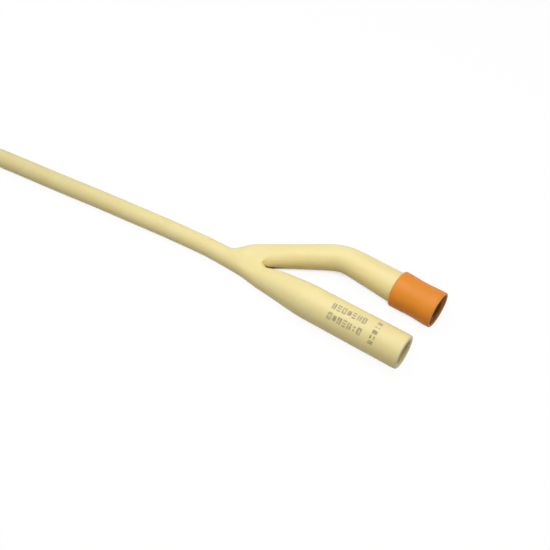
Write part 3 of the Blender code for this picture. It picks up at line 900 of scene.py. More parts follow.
@dataclass
class Funnel:
    """The Y moulding: the drainage funnel with its inflation arm, out of one cage of rings.

    Stations run from the neck face towards the drainage mouth.
    """

    # Stations
    length: float = 0.06266
    branch: float = 0.0059
    notch: float = 0.0071
    hump: float = 0.0097
    cone: float = 0.0123
    parting: float = 0.0139
    crotch: float = 0.0174
    throat: float = 0.0180
    waist: float = 0.02225
    shoulder: float = 0.0323
    shoulder_ease: float = 0.0037

    # Diameters and the places across
    neck_diameter: float = 0.00533
    branch_diameter: float = 0.0055
    cone_diameter: float = 0.0059
    throat_diameter: float = 0.0062
    waist_diameter: float = 0.00765
    shoulder_diameter: float = 0.00955
    mouth_diameter: float = 0.00971
    wall: float = 0.00146
    mouth_fillet: float = 0.0005
    spigot_fillet: float = 0.0003
    neck_set_in: float = 0.00053
    cone_set_in: float = 0.00042
    throat_set_in: float = 0.00112
    waist_set_in: float = 0.00032

    # The web between the limbs, and the dark start of the gap past it, a painted shade
    valley: float = 0.0010
    web_sharpness: float = 0.8
    web_hollow: float = 0.3
    shade_aside: tuple[float, float] = (0.0005, 0.0010)
    shade_depth: tuple[float, float] = (0.0014, 0.0019)
    shade_end: tuple[float, float] = (0.0190, 0.0215)

    # Bores
    lumen_diameter: float = 0.0028
    lumen_offset: float = 0.0005
    arm_bore: float = 0.00598
    arm_bore_end: float = 0.0018

    # The valve's place and the spigot inside it
    spacing: float = 0.01658
    sleeve_diameter: float = 0.01034
    sleeve_length: float = 0.0127
    sleeve_toe_in: float = math.radians(2.0)
    overhang: float = 0.0013
    spigot_diameter: float = 0.00818
    seat_gap: float = 0.0003
    butt_gap: float = 0.00004

    # The cage
    hold: float = 0.0004
    sides: int = 12
    fineness: int = 3

    def __post_init__(self) -> None:
        """Work out the places that follow from the sizes."""
        low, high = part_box("funnel_body")
        self.neck_x = low[0]
        self.mouth_x = high[0]
        # The two limbs reach equally far to either side of the part's middle.
        self.inner_y = (1.5 * self.mouth_diameter - self.spacing - self.sleeve_diameter / 2.0) / 2.0
        self.mouth_y = self.inner_y - self.mouth_diameter / 2.0
        self.step = 2.0 * math.pi / self.sides
        self.spread = cage_spread(self.sides)
        self.top = self.sides // 4
        self.bottom = 3 * self.sides // 4
        toe_in = self.sleeve_toe_in
        self.sleeve_direction = Vector((math.cos(toe_in), -math.sin(toe_in), 0.0))
        rear_x = self.mouth_x + self.overhang - self.sleeve_length * math.cos(toe_in)
        self.sleeve_rear = Vector((rear_x, self.mouth_y + self.spacing, self.sleeve_diameter / 2.0))
        branch = self.centre(self.branch)
        branch.z = ArmLine.root_diameter / 2.0
        self.arm = ArmLine(branch, self.sleeve_rear, self.sleeve_direction)

    def radius(self, station: float) -> float:
        """Find the outer radius of the drainage limb.

        Args:
            station: The station.

        Returns:
            The radius there.
        """
        places = (0.0, self.branch, self.cone, self.throat, self.waist, self.shoulder, self.length)
        sizes = (
            self.neck_diameter, self.branch_diameter, self.cone_diameter, self.throat_diameter,
            self.waist_diameter, self.shoulder_diameter, self.mouth_diameter,
        )
        return float(np.interp(station, places, sizes)) / 2.0

    def inner_edge(self, station: float) -> float:
        """Find the drainage limb's straighter side.

        Args:
            station: The station.

        Returns:
            Its place across.
        """
        places = (0.0, self.cone, self.throat, self.waist, self.shoulder)
        sizes = (self.neck_set_in, self.cone_set_in, self.throat_set_in, self.waist_set_in, 0.0)
        return self.inner_y - float(np.interp(station, places, sizes))

    def centre(self, station: float) -> Vector:
        """Centre of the drainage limb at a station."""
        radius = self.radius(station)
        return Vector((self.neck_x + station, self.inner_edge(station) - radius, radius))

    def ring(self, mesh: bmesh.types.BMesh, centre: Vector, direction: Vector, radius: float) -> Ring:
        """A ring of cage points.

        Args:
            mesh: The mesh that it goes into.
            centre: The ring's middle.
            direction: The way that the limb runs.
            radius: The radius of the smooth surface there.

        Returns:
            Its points, the first one on the left of the direction.
        """
        side = Vector((-direction.y, direction.x, 0.0)).normalized() * (radius * self.spread)
        rise = direction.cross(side)
        turns = [k * self.step for k in range(self.sides)]
        return [mesh.verts.new(centre + side * math.cos(t) + rise * math.sin(t)) for t in turns]

    def sharpen(self, mesh: bmesh.types.BMesh, points: Ring, sharpness: float = 1.0) -> None:
        """Keep the edges between consecutive points sharp under subdivision.

        Args:
            mesh: The mesh.
            points: The points, in order.
            sharpness: How sharp the edges stay, from 0 to 1.
        """
        layers = mesh.edges.layers.float
        crease = layers.get("crease_edge") or layers.new("crease_edge")
        for first, second in zip(points, points[1:]):
            mesh.edges.get((first, second))[crease] = sharpness

    def rim(
        self, mesh: bmesh.types.BMesh, centre: Vector, direction: Vector, outer: float, inner: float,
        soft: float,
    ) -> list[Ring]:
        """Rings over a rounded rim with a flat face.

        Args:
            mesh: The mesh that they go into.
            centre: The middle of the rim's face.
            direction: The way that the face looks.
            outer: The outer radius.
            inner: The radius of the bore.
            soft: How round its two edges are.

        Returns:
            The rings, from the outer wall to the bore.
        """
        shares = ((6.0, 0.0), (2.0, 0.0), (1.0, 0.0), (0.25, 0.25), (0.0, 1.0))
        lip = [(back * soft, inset * soft) for back, inset in shares]
        places = [(back, outer - inset) for back, inset in lip]
        places += [(0.0, across(outer - soft, inner + soft, share)) for share in (0.33, 0.67)]
        places += [(back, inner + inset) for back, inset in lip[::-1]]
        return [self.ring(mesh, centre - direction * back, direction, size) for back, size in places]

    def drainage_rings(self, mesh: bmesh.types.BMesh) -> list[Ring]:
        """Lay the drainage limb's rings past the crotch.

        Args:
            mesh: The mesh that they go into.

        Returns:
            The rings, out to the mouth and back down the bore.
        """
        shoulder_end = self.shoulder + self.shoulder_ease
        stations = [
            self.throat + self.hold, self.waist, (self.waist + self.shoulder) / 2.0, self.shoulder,
            shoulder_end, (shoulder_end + self.length) / 2.0,
        ]
        outside = [self.crotch + self.hold] + stations
        rings = [self.ring(mesh, self.centre(s), FORWARD, self.radius(s)) for s in outside]
        mouth = self.centre(self.length)
        rings += self.rim(mesh, mouth, FORWARD, mouth.z, mouth.z - self.wall, self.mouth_fillet)
        lumen = self.lumen_diameter / 2.0
        for s in stations[::-1] + [self.crotch]:
            bore = max(self.radius(s) - self.wall, lumen)
            rings.append(self.ring(mesh, self.centre(s), FORWARD, bore))
        for s in (self.cone, self.branch, self.branch / 2.0, 0.0):
            aside = Vector((0.0, self.lumen_offset * (1.0 - s / self.crotch), 0.0))
            rings.append(self.ring(mesh, self.centre(s) - aside, FORWARD, lumen))
        return rings

    def arm_rings(self, mesh: bmesh.types.BMesh) -> list[Ring]:
        """Lay the inflation arm's rings past the crotch.

        Args:
            mesh: The mesh that they go into.

        Returns:
            The rings, out to the spigot and back down its bore.
        """
        line = self.arm
        start = self.arm_reach(self.crotch) + self.hold
        step = line.to_sleeve - self.butt_gap
        distances = list(np.linspace(start, line.to_arc, 4))
        distances += list(np.linspace(line.to_arc, line.past_arc, 4)[1:3])
        distances += list(np.linspace(line.past_arc, step, 4)[:3])
        rings = [self.ring(mesh, *line.at(d), line.radius(d)) for d in distances]
        arm_end, spigot = line.end_diameter / 2.0, self.spigot_diameter / 2.0
        for side, radius in ((-1.0, arm_end), (0.0, arm_end), (0.0, spigot), (1.0, spigot)):
            centre = line.at(step + side * self.hold)[0]
            rings.append(self.ring(mesh, centre, self.sleeve_direction, radius))
        end, bore = line.at(line.to_end)[0], self.arm_bore / 2.0
        rings += self.rim(mesh, end, self.sleeve_direction, spigot, bore, self.spigot_fillet)
        for d in distances[:1:-1]:
            share = (d - distances[2]) / (distances[-1] - distances[2])
            bore = across(self.arm_bore_end, self.arm_bore, share)
            rings.append(self.ring(mesh, *line.at(d), bore / 2.0))
        return rings

    def arm_reach(self, station: float) -> float:
        """How far along the arm it is beside a station."""
        return (station - self.branch) / math.cos(self.arm.leaving)

    def gap(self, station: float) -> tuple[float, float]:
        """Find the gap between the limbs at a station.

        Args:
            station: The station.

        Returns:
            The place across of the gap's middle, and its width.
        """
        reach = self.arm_reach(station)
        upper = self.arm.at(reach)[0].y - self.arm.radius(reach) / math.cos(self.arm.leaving)
        lower = self.inner_edge(station)
        return (lower + upper) / 2.0, max(0.0, upper - lower)

    def parting_ring(self, mesh: bmesh.types.BMesh, station: float) -> Ring:
        """A ring around both limbs, with a valley that deepens between them towards the crotch.

        Args:
            mesh: The mesh that it goes into.
            station: Its station.

        Returns:
            Its points.
        """
        valley = self.valley * (station - self.hump) / (self.parting - self.hump)
        low, low_radius = self.centre(station), self.radius(station)
        reach = self.arm_reach(station)
        arm, arm_radius = self.arm.at(reach)[0], self.arm.radius(reach)
        wide = arm_radius / math.cos(self.arm.leaving)
        ring = []
        for k in range(self.sides):
            side = self.spread * math.cos(k * self.step)
            rise = self.spread * math.sin(k * self.step)
            on_arm = Vector((low.x, arm.y + wide * side, arm.z + arm_radius * rise))
            on_low = Vector((low.x, low.y + low_radius * side, low.z + low_radius * rise))
            share = 0.5 if k in (self.top, self.bottom) else float(side > 0.0)
            ring.append(mesh.verts.new(on_low.lerp(on_arm, share)))
        ring[self.top].co.z -= valley
        ring[self.bottom].co.z += valley
        return ring

    def web(self, mesh: bmesh.types.BMesh, parting: Ring) -> Ring:
        """Lay the cage points of the web between the limbs.

        Args:
            mesh: The mesh that they go into.
            parting: The trunk's last ring.

        Returns:
            The points, from the top of the trunk to its underside.
        """
        top, bottom = parting[self.top].co, parting[self.bottom].co
        middle, height = (top.z + bottom.z) / 2.0, (top.z - bottom.z) / 2.0
        crotch = Vector((self.neck_x + self.crotch, self.gap(self.crotch)[0]))
        points = []
        for j in range(1, self.sides // 2):
            angle = math.pi / 2.0 - j * self.step
            place = top.xy.lerp(crotch, (1.0 - abs(math.sin(angle))) ** self.web_hollow)
            points.append(mesh.verts.new((*place, middle + height * math.sin(angle))))
        return points

    def shade_gap(self, funnel: bpy.types.Object) -> None:
        """Mark the points deep in the narrow start of the gap, where hardly any light comes, for a
        painted shade.

        Args:
            funnel: The funnel's object, which gets the attribute gap_shade.
        """
        marks = funnel.data.attributes.new("gap_shade", "FLOAT", "POINT")
        for point, mark in zip(funnel.data.vertices, marks.data):
            station = point.co.x - self.neck_x
            if self.parting < station < self.shade_end[1]:
                middle, width = self.gap(station)
                aside = abs(point.co.y - middle) - width / 2.0
                depth = 2.0 * self.radius(station) - point.co.z - width
                near = np.interp(aside, self.shade_aside, (1.0, 0.0))
                deep = np.interp(depth, self.shade_depth, (0.0, 1.0))
                mark.value = float(near * deep * np.interp(station, self.shade_end, (1.0, 0.0)))

    def build(self) -> bpy.types.Object:
        """Build the moulding.

        Returns:
            The funnel's object, with its plain mesh.
        """
        mesh = bmesh.new()
        stations = np.linspace(0.0, self.notch, 4)
        trunk = [self.ring(mesh, self.centre(s), FORWARD, self.radius(s)) for s in stations]
        trunk += [self.parting_ring(mesh, s) for s in np.linspace(self.hump, self.parting, 3)]
        chain(mesh, trunk)
        drainage_base, arm_base = list(trunk[-1]), list(trunk[-1])
        web = self.web(mesh, trunk[-1])
        for j, point in enumerate(web, start=1):
            drainage_base[(self.top - j) % self.sides] = point
            arm_base[(self.top + j) % self.sides] = point
        drainage, arm = self.drainage_rings(mesh), self.arm_rings(mesh)
        chain(mesh, [drainage_base] + drainage + [trunk[0]])
        chain(mesh, [arm_base] + arm)
        mesh.faces.new(arm[-1])
        self.sharpen(mesh, trunk[0] + trunk[0][:1])
        self.sharpen(mesh, drainage[-1] + drainage[-1][:1])
        self.sharpen(mesh, web, self.web_sharpness)
        funnel = smoothed(from_bmesh("moulded_funnel", mesh), self.fineness)
        funnel.data.set_sharp_from_angle(angle=CORNER_ANGLE)
        self.shade_gap(funnel)
        return funnel

    def dress(self, funnel: bpy.types.Object, effects: Effects) -> None:
        """Finish the funnel and put it in its node's place.

        Args:
            funnel: The funnel's object.
            effects: The shared node groups.
        """
        funnel.data.materials.append(Latex("moulded_latex", cut_at=self.mouth_x).make(effects))
        stand_in(funnel, "funnel_body", Slot.LATEX)


@dataclass(frozen=True)
class PrintRow:
    """A row of marks: where it starts along and around the barrel, and the way that it runs."""

    start: tuple[float, float]
    way: tuple[float, float]
    marks: tuple[Mark, ...]


@dataclass
class Print:
    """Rows of plain printed marks that follow the funnel's barrel."""

    funnel: Funnel
    stroke: float = 0.00048
    film: float = 0.00004
    proud: float = 0.000012
    pitch: float = 0.00147
    first_cell: float = 0.35
    cuts: tuple[int, int, int] = (13, 3, 2)
    end_power: float = 8.0
    end_taper: float = 0.55
    rows: tuple[PrintRow, ...] = (
        PrintRow(
            (0.0092, 0.00035), (1.0, -0.037),
            (Mark.TWIN, Mark.LADDER, Mark.FRAME, Mark.BLOCK, Mark.LADDER, Mark.TWIN, Mark.FRAME),
        ),
        PrintRow(
            (0.0093, 0.00325), (1.0, 0.007),
            (Mark.FRAME, Mark.BLOCK, Mark.TWIN, Mark.LADDER, Mark.TWIN, Mark.DOTS, Mark.FRAME),
        ),
        PrintRow(
            (0.0224, 0.0050), (0.0, -1.0),
            (Mark.PAIR, Mark.STEPS, Mark.BLOCK, Mark.DOTS, Mark.PAIR),
        ),
    )

    def strokes(self) -> list[tuple[float, float, float, float]]:
        """Lay the strokes of all rows out flat.

        Returns:
            Each stroke's place along the barrel and around it, its turn and its length.
        """
        found = []
        for row in self.rows:
            along = Vector(row.way).normalized()
            over = Vector((along.y, -along.x))
            for k, mark in enumerate(row.marks):
                cell = Vector(row.start) + along * (self.pitch * (k + self.first_cell))
                for u, v, turn, length in mark.value:
                    spot = cell + along * (u * MM) + over * (v * MM)
                    heading = math.radians(turn) + math.atan2(along.y, along.x)
                    found.append((spot.x, spot.y, heading, length * MM))
        return found

    def build(self, material: bpy.types.Material) -> bpy.types.Object:
        """Build the printed film.

        Args:
            material: The ink.

        Returns:
            The print's object.
        """
        strokes = self.strokes()
        data = bpy.data.meshes.new("print_marks")
        data.from_pydata([(u, v, 0.0) for u, v, _, _ in strokes], [], [])
        for name, index in (("turn", 2), ("reach", 3)):
            layer = data.attributes.new(name, "FLOAT", "POINT")
            layer.data.foreach_set("value", [stroke[index] for stroke in strokes])
        rule = Rule("marks_on_barrel")
        rule.close(self.wrap(rule, self.lay(rule)), material)
        return rule.run(link("print_marks", data))

    def lay(self, rule: Rule) -> bpy.types.NodeSocket:
        """Put a soft-ended stroke on each point of the flat layout.

        Args:
            rule: The tree.

        Returns:
            The strokes, laid out flat.
        """
        counts = dict(zip(("Vertices X", "Vertices Y", "Vertices Z"), self.cuts))
        block = rule.node("GeometryNodeMeshCube", {"Size": (1.0, 1.0, 1.0), **counts}).outputs["Mesh"]
        split = rule.node("ShaderNodeSeparateXYZ", {0: rule.position()}).outputs
        ends = rule.maths("ABSOLUTE", rule.maths("MULTIPLY", split[0], 2.0))
        ends = rule.maths("POWER", ends, self.end_power)
        narrow = rule.maths("SUBTRACT", 1.0, rule.maths("MULTIPLY", ends, self.end_taper))
        width = rule.maths("MULTIPLY", split[1], narrow)
        soft = rule.node("ShaderNodeCombineXYZ", {0: split[0], 1: width, 2: split[2]})
        block = rule.node("GeometryNodeSetPosition", {"Geometry": block, "Position": soft.outputs[0]})
        size = rule.node("ShaderNodeCombineXYZ", {
            0: rule.named("reach"), 1: rule.size("Stroke", self.stroke), 2: rule.size("Film", self.film),
        })
        turned = rule.node("ShaderNodeCombineXYZ", {2: rule.named("turn")})
        rotation = rule.node("FunctionNodeEulerToRotation", {0: turned.outputs[0]}).outputs[0]
        laid = rule.node("GeometryNodeInstanceOnPoints", {
            "Points": rule.inlet.outputs["Geometry"], "Instance": block.outputs["Geometry"],
            "Rotation": rotation, "Scale": size.outputs[0],
        })
        real = rule.node("GeometryNodeRealizeInstances", {"Geometry": laid.outputs["Instances"]})
        return real.outputs["Geometry"]

    def wrap(self, rule: Rule, flat: bpy.types.NodeSocket) -> bpy.types.NodeSocket:
        """Bend the flat layout round the barrel, whose radius grows a little towards the mouth.

        Args:
            rule: The tree.
            flat: The strokes, laid out flat.

        Returns:
            The strokes on the barrel.
        """
        body = self.funnel
        start = rule.size("Barrel start", body.neck_x + body.shoulder)
        first = rule.size("Radius at start", body.shoulder_diameter / 2.0)
        grow = (body.mouth_diameter - body.shoulder_diameter) / 2.0 / (body.length - body.shoulder)
        growth = rule.size("Growth", grow)
        edge = rule.size("Inner side", body.inner_y)
        lift = rule.size("Lift", self.proud - self.film / 2.0)
        place = rule.node("ShaderNodeSeparateXYZ", {0: rule.position()}).outputs
        radius = rule.maths("MULTIPLY_ADD", rule.maths("SUBTRACT", place[0], start), growth, first)
        turn = rule.maths("DIVIDE", place[1], radius)
        reach = rule.maths("ADD", radius, rule.maths("ADD", place[2], lift))
        aside = rule.maths("MULTIPLY", reach, rule.maths("SINE", turn))
        y = rule.maths("SUBTRACT", rule.maths("SUBTRACT", edge, radius), aside)
        z = rule.maths("MULTIPLY_ADD", reach, rule.maths("COSINE", turn), radius)
        bent = rule.node("ShaderNodeCombineXYZ", {0: place[0], 1: y, 2: z}).outputs[0]
        moved = rule.node("GeometryNodeSetPosition", {"Geometry": flat, "Position": bent})
        return moved.outputs["Geometry"]

    def dress(self, marks: bpy.types.Object) -> None:
        """Let the print ride with the funnel."""
        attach(marks, BODY)
        report(marks)


# The valve on the arm

@dataclass
class Sleeve:
    """The coloured sleeve: a soft tube with rounded lips and a slight waist."""

    funnel: Funnel
    wall: float = 0.00078
    front_lip: float = 0.00038
    rear_lip: float = 0.0006
    waist: float = 0.0002
    bead: float = 0.00006
    bead_at: float = 0.045
    bead_width: float = 0.018
    cuts: int = 28
    lip_edge: float = 0.6

    def build(self) -> bpy.types.Object:
        """Turn the sleeve's section.

        Returns:
            The sleeve's object.
        """
        outer = self.funnel.sleeve_diameter / 2.0
        inner = outer - self.wall
        lip, rear = self.front_lip, self.rear_lip
        front = self.funnel.sleeve_length - lip
        section = rounded((inner + lip, front), lip, 180.0, 90.0)
        section += rounded((outer - lip, front), lip, 90.0, 0.0)
        for share in np.linspace(0.0, 1.0, self.cuts + 1)[1:-1]:
            hollow = self.waist * math.sin(math.pi * share) ** 2
            lip_line = self.bead * math.exp(-((share - self.bead_at) / self.bead_width) ** 2)
            section.append((outer - hollow - lip_line, across(front, rear, share)))
        section += rounded((outer - rear, rear), rear, 0.0, -90.0, steps=8)
        section += [(inner, 0.0)] + [(inner, front * share) for share in (0.25, 0.5, 0.75)]
        turning = Turning(self.funnel.sleeve_rear, self.funnel.sleeve_direction)
        return turning.turn("valve_sleeve", section, marks=self.trimmed)

    def trimmed(self, radius: float, height: float) -> float:
        """Find a point's place on the mouth's rim, for the painted highlight and shade.

        Args:
            radius: The point's radius.
            height: Its height along the sleeve.

        Returns:
            -1 on the outer lip, up to 1 towards the inner edge, and 0 elsewhere.
        """
        past = (height - self.funnel.sleeve_length + self.front_lip) / self.front_lip
        inward = (self.funnel.sleeve_diameter / 2.0 - self.front_lip / 2.0 - radius) / self.front_lip
        if inward <= 0.0:
            return -1.0 if past > self.lip_edge else 0.0
        return min(1.0, max(0.0, past)) * min(1.0, inward)

    def dress(self, sleeve: bpy.types.Object, effects: Effects) -> None:
        """Finish the sleeve and put it in its node's place.

        Args:
            sleeve: The sleeve's object.
            effects: The shared node groups.
        """
        # The rim colour is the painted shade at the mouth's face and inner edge, and also the colour of
        # rubbed spots.
        finish = MouldedRubber(
            "sleeve_rubber", body=(0.78, 0.255, 0.012), pale=(0.82, 0.295, 0.035),
            rim=(0.50, 0.20, 0.07),
        )
        sleeve.data.materials.append(finish.make(effects))
        stand_in(sleeve, "valve_sleeve", Slot.SLEEVE)


@dataclass
class Plug:
    """The rubber plug: a flange against the spigot, a stem in its bore and a syringe's recess."""

    funnel: Funnel
    flange_radius: float = 0.00409
    stem_radius: float = 0.00269
    flange: float = 0.00645
    stem: float = 0.0062
    lip: float = 0.0003
    nose: float = 0.0006
    recess_radius: float = 0.00215
    recess_depth: float = 0.0045
    taper: float = 0.06
    slit: float = 0.0011
    slit_width: float = 0.00014
    slit_depth: float = 0.0005

    def __post_init__(self) -> None:
        """Place the front face and the floor of the recess along the plug."""
        self.front = self.stem + self.flange
        self.recess_floor = self.front - self.recess_depth

    def build(self) -> bpy.types.Object:
        """Turn the plug's section and press the valve's slit into the recess.

        Returns:
            The plug's object.
        """
        floor = self.recess_radius - self.recess_depth * self.taper / 2.0
        section = [(floor * share, self.recess_floor) for share in np.linspace(0.0, 1.0, 15)]
        rim, shoulder = self.front - self.lip, self.flange_radius - self.lip
        for share in (0.1, 0.5, 0.9):
            wall = across(floor, self.recess_radius, share)
            section.append((wall, across(self.recess_floor, rim, share)))
        section += rounded((self.recess_radius + self.lip, rim), self.lip, 180.0, 90.0)
        section += rounded((shoulder, rim), self.lip, 90.0, 0.0)
        section += rounded((shoulder, self.stem + self.lip), self.lip, 0.0, -90.0)
        section += [(self.stem_radius, self.stem), (self.stem_radius, self.stem / 2.0)]
        section += rounded((self.stem_radius - self.nose, self.nose), self.nose, 0.0, -90.0)
        section += [(self.stem_radius / 3.0, 0.0), (0.0, 0.0)]
        face = self.funnel.arm.spigot + self.funnel.seat_gap
        place = self.funnel.sleeve_rear + self.funnel.sleeve_direction * (face - self.stem)
        return Turning(place, self.funnel.sleeve_direction).turn("valve_plug", section, self.press)

    def press(self, point: Vector) -> Vector:
        """Sink the floor of the recess along the slit.

        Args:
            point: A point of the unplaced plug.

        Returns:
            The same point in its new place.
        """
        if abs(point.z - self.recess_floor) < HAIR and abs(point.x) < self.slit:
            width = self.slit_width * math.sqrt(1.0 - (point.x / self.slit) ** 2) + HAIR
            point.z -= self.slit_depth * math.exp(-((point.y / width) ** 2))
        return point

    def dress(self, plug: bpy.types.Object, effects: Effects) -> None:
        """Finish the plug and put it in its node's place.

        Args:
            plug: The plug's object.
            effects: The shared node groups.
        """
        # The plug's dark brown is partly its own colour and partly painted shade for the depth inside
        # the sleeve's mouth.
        finish = MouldedRubber(
            "plug_rubber", body=(0.22, 0.08, 0.028), pale=(0.34, 0.155, 0.068),
            rim=(0.33, 0.16, 0.08), roughness=0.66, sheen=0.1,
        )
        plug.data.materials.append(finish.make(effects))
        stand_in(plug, "valve_plug", Slot.PLUG)


# Shaft, balloon and tip

class Route:
    """The shaft's middle line as it lies, finely divided."""

    SPACING = 0.0002
    CORNERS_MM = (
        (0.0, 0.0), (-12.4, -0.8), (-25.7, -2.0), (-38.3, -3.2), (-51.2, -4.6), (-64.5, -5.9),
        (-77.8, -7.3), (-92.7, -8.6), (-108.5, -9.9), (-125.5, -11.1), (-142.5, -12.1),
        (-159.5, -12.7), (-176.5, -12.6), (-192.0, -11.0), (-205.5, -5.0), (-213.7, 6.0),
        (-213.5, 18.5), (-205.0, 28.3), (-192.0, 32.4), (-177.5, 32.9), (-162.5, 32.9),
        (-147.5, 32.9), (-132.5, 32.9), (-117.5, 32.9),
    )

    def __init__(self, neck: Vector, gap: float, lift: float, lift_end: float, rise: float) -> None:
        """Divide the route.

        Args:
            neck: The middle of the neck face.
            gap: The gap between the neck face and the shaft's solid.
            lift: How far the balloon raises the shaft.
            lift_end: The length of shaft before the balloon.
            rise: The length over which the shaft rises.
        """
        corners = np.array(self.CORNERS_MM) * MM + np.array(neck.xy)
        corners[0, 0] -= gap
        flat = self.spline(corners)
        steps = np.linalg.norm(np.diff(flat, axis=0), axis=1)
        passed = np.concatenate(([0.0], np.cumsum(steps)))
        share = np.clip(1.0 + (passed - lift_end) / rise, 0.0, 1.0)
        height = neck.z + lift * share**2 * (3.0 - 2.0 * share)
        self.points = np.column_stack((flat, height))
        lengths = np.linalg.norm(np.diff(self.points, axis=0), axis=1)
        self.at = np.concatenate(([0.0], np.cumsum(lengths)))

    def spline(self, knots: np.ndarray) -> np.ndarray:
        """Draw the natural cubic spline through some points.

        Args:
            knots: The points that it passes through.

        Returns:
            The spline's points.
        """
        chords = np.linalg.norm(np.diff(knots, axis=0), axis=1)
        at = np.concatenate(([0.0], np.cumsum(chords)))
        slopes = np.diff(knots, axis=0) / chords[:, None]
        rows, bends = np.eye(len(knots)), np.zeros_like(knots)
        for k in range(1, len(knots) - 1):
            rows[k, k - 1:k + 2] = chords[k - 1], 2.0 * (chords[k - 1] + chords[k]), chords[k]
            bends[k] = 6.0 * (slopes[k] - slopes[k - 1])
        bends = np.linalg.solve(rows, bends)
        where = np.linspace(0.0, at[-1], round(at[-1] / self.SPACING) + 1)
        span = np.clip(np.searchsorted(at, where, side="right") - 1, 0, len(knots) - 2)
        chord = chords[span][:, None]
        after = (where - at[span])[:, None] / chord
        before = 1.0 - after
        chorded = before * knots[span] + after * knots[span + 1]
        bent = (before**3 - before) * bends[span] + (after**3 - after) * bends[span + 1]
        return chorded + bent * chord**2 / 6.0

    def point(self, distance: float) -> Vector:
        """Find a point of the route, which runs on straight past both its ends.

        Args:
            distance: How far along the route, from the neck.

        Returns:
            The point.
        """
        if distance < 0.0:
            first = Vector(self.points[0])
            return first + (first - Vector(self.points[1])).normalized() * -distance
        if distance > self.at[-1]:
            last = Vector(self.points[-1])
            return last + (last - Vector(self.points[-2])).normalized() * (distance - self.at[-1])
        return Vector([float(np.interp(distance, self.at, self.points[:, k])) for k in range(3)])


@dataclass
class Shaft:
    """The long soft tube from the funnel's neck to the tip."""

    funnel: Funnel
    length: float = 0.31474
    diameter: float = 0.00533
    spacing: float = 0.0015
    tuck: float = 0.0006
    step: float = 0.00002
    balloon_length: float = 0.032
    balloon_to_tip: float = 0.003
    balloon_diameter: float = 0.00673
    rise: float = 0.030
    sides: int = 48
    nip: tuple[float, float] = (0.93, 0.96)
    rings: list[Vector] = field(default_factory=list)

    def __post_init__(self) -> None:
        """Lay the route out."""
        neck = self.funnel.centre(0.0)
        before = self.length - self.balloon_to_tip - self.balloon_length
        lift = (self.balloon_diameter - self.diameter) / 2.0
        self.route = Route(neck, self.funnel.seat_gap, lift, before, self.rise)

    def build(self, material: bpy.types.Material) -> bpy.types.Object:
        """Draw the tube along its route.

        Args:
            material: The shaft's latex.

        Returns:
            The shaft's object.
        """
        gap = self.funnel.seat_gap
        count = round(self.length / self.spacing)
        middle = [-gap] + [self.length * k / count for k in range(count + 1)] + [self.length + gap]
        lead = [-gap - self.tuck, -gap - self.step]
        tail = [self.length + gap + self.step, self.length + gap + self.tuck]
        self.rings = [self.route.point(d) for d in lead + middle + tail]
        girth = [*self.nip, *[1.0] * len(middle), *self.nip[::-1]]
        data = bpy.data.meshes.new("soft_shaft")
        data.from_pydata(self.rings, [(k, k + 1) for k in range(len(self.rings) - 1)], [])
        data.attributes.new("girth", "FLOAT", "POINT").data.foreach_set("value", girth)
        rule = Rule("tube_along_route")
        line = rule.node("GeometryNodeMeshToCurve", {"Mesh": rule.inlet.outputs["Geometry"]})
        line = self.keep(rule, line.outputs["Curve"], "along", "Length")
        radius = rule.maths("MULTIPLY", rule.size("Diameter", self.diameter), 0.5)
        sides = rule.size("Sides", self.sides, "NodeSocketInt")
        circle = rule.node("GeometryNodeCurvePrimitiveCircle", {"Resolution": sides, "Radius": radius})
        section = self.keep(rule, circle.outputs["Curve"], "around", "Factor")
        tube = rule.node("GeometryNodeCurveToMesh", {
            "Curve": line, "Profile Curve": section, "Scale": rule.named("girth"), "Fill Caps": True,
        })
        smooth = rule.node("GeometryNodeSetShadeSmooth", {"Geometry": tube.outputs["Mesh"]})
        rule.close(smooth.outputs["Geometry"], material)
        shaft = rule.run(link("soft_shaft", data))
        shaft.data.set_sharp_from_angle(angle=CORNER_ANGLE)
        return shaft

    def keep(
        self, rule: Rule, curve: bpy.types.NodeSocket, name: str, output: str,
    ) -> bpy.types.NodeSocket:
        """Store a curve's own parameter on it.

        Args:
            rule: The tree.
            curve: The curve.
            name: The attribute's name.
            output: Which of the curve's parameters.

        Returns:
            The curve with the attribute.
        """
        value = rule.node("GeometryNodeSplineParameter").outputs[output]
        inputs = {"Geometry": curve, "Name": name, "Value": value}
        return rule.node("GeometryNodeStoreNamedAttribute", inputs).outputs["Geometry"]

    def dress(self, shaft: bpy.types.Object, carried: list[bpy.types.Object]) -> None:
        """Args:
            shaft: The shaft's object.
            carried: The pieces on it; not used.
        """
        stand_in(shaft, "shaft_tube", Slot.LATEX)
        exit_point = tuple(self.funnel.centre(0.0))
        [tuple(p) for p in self.rings]


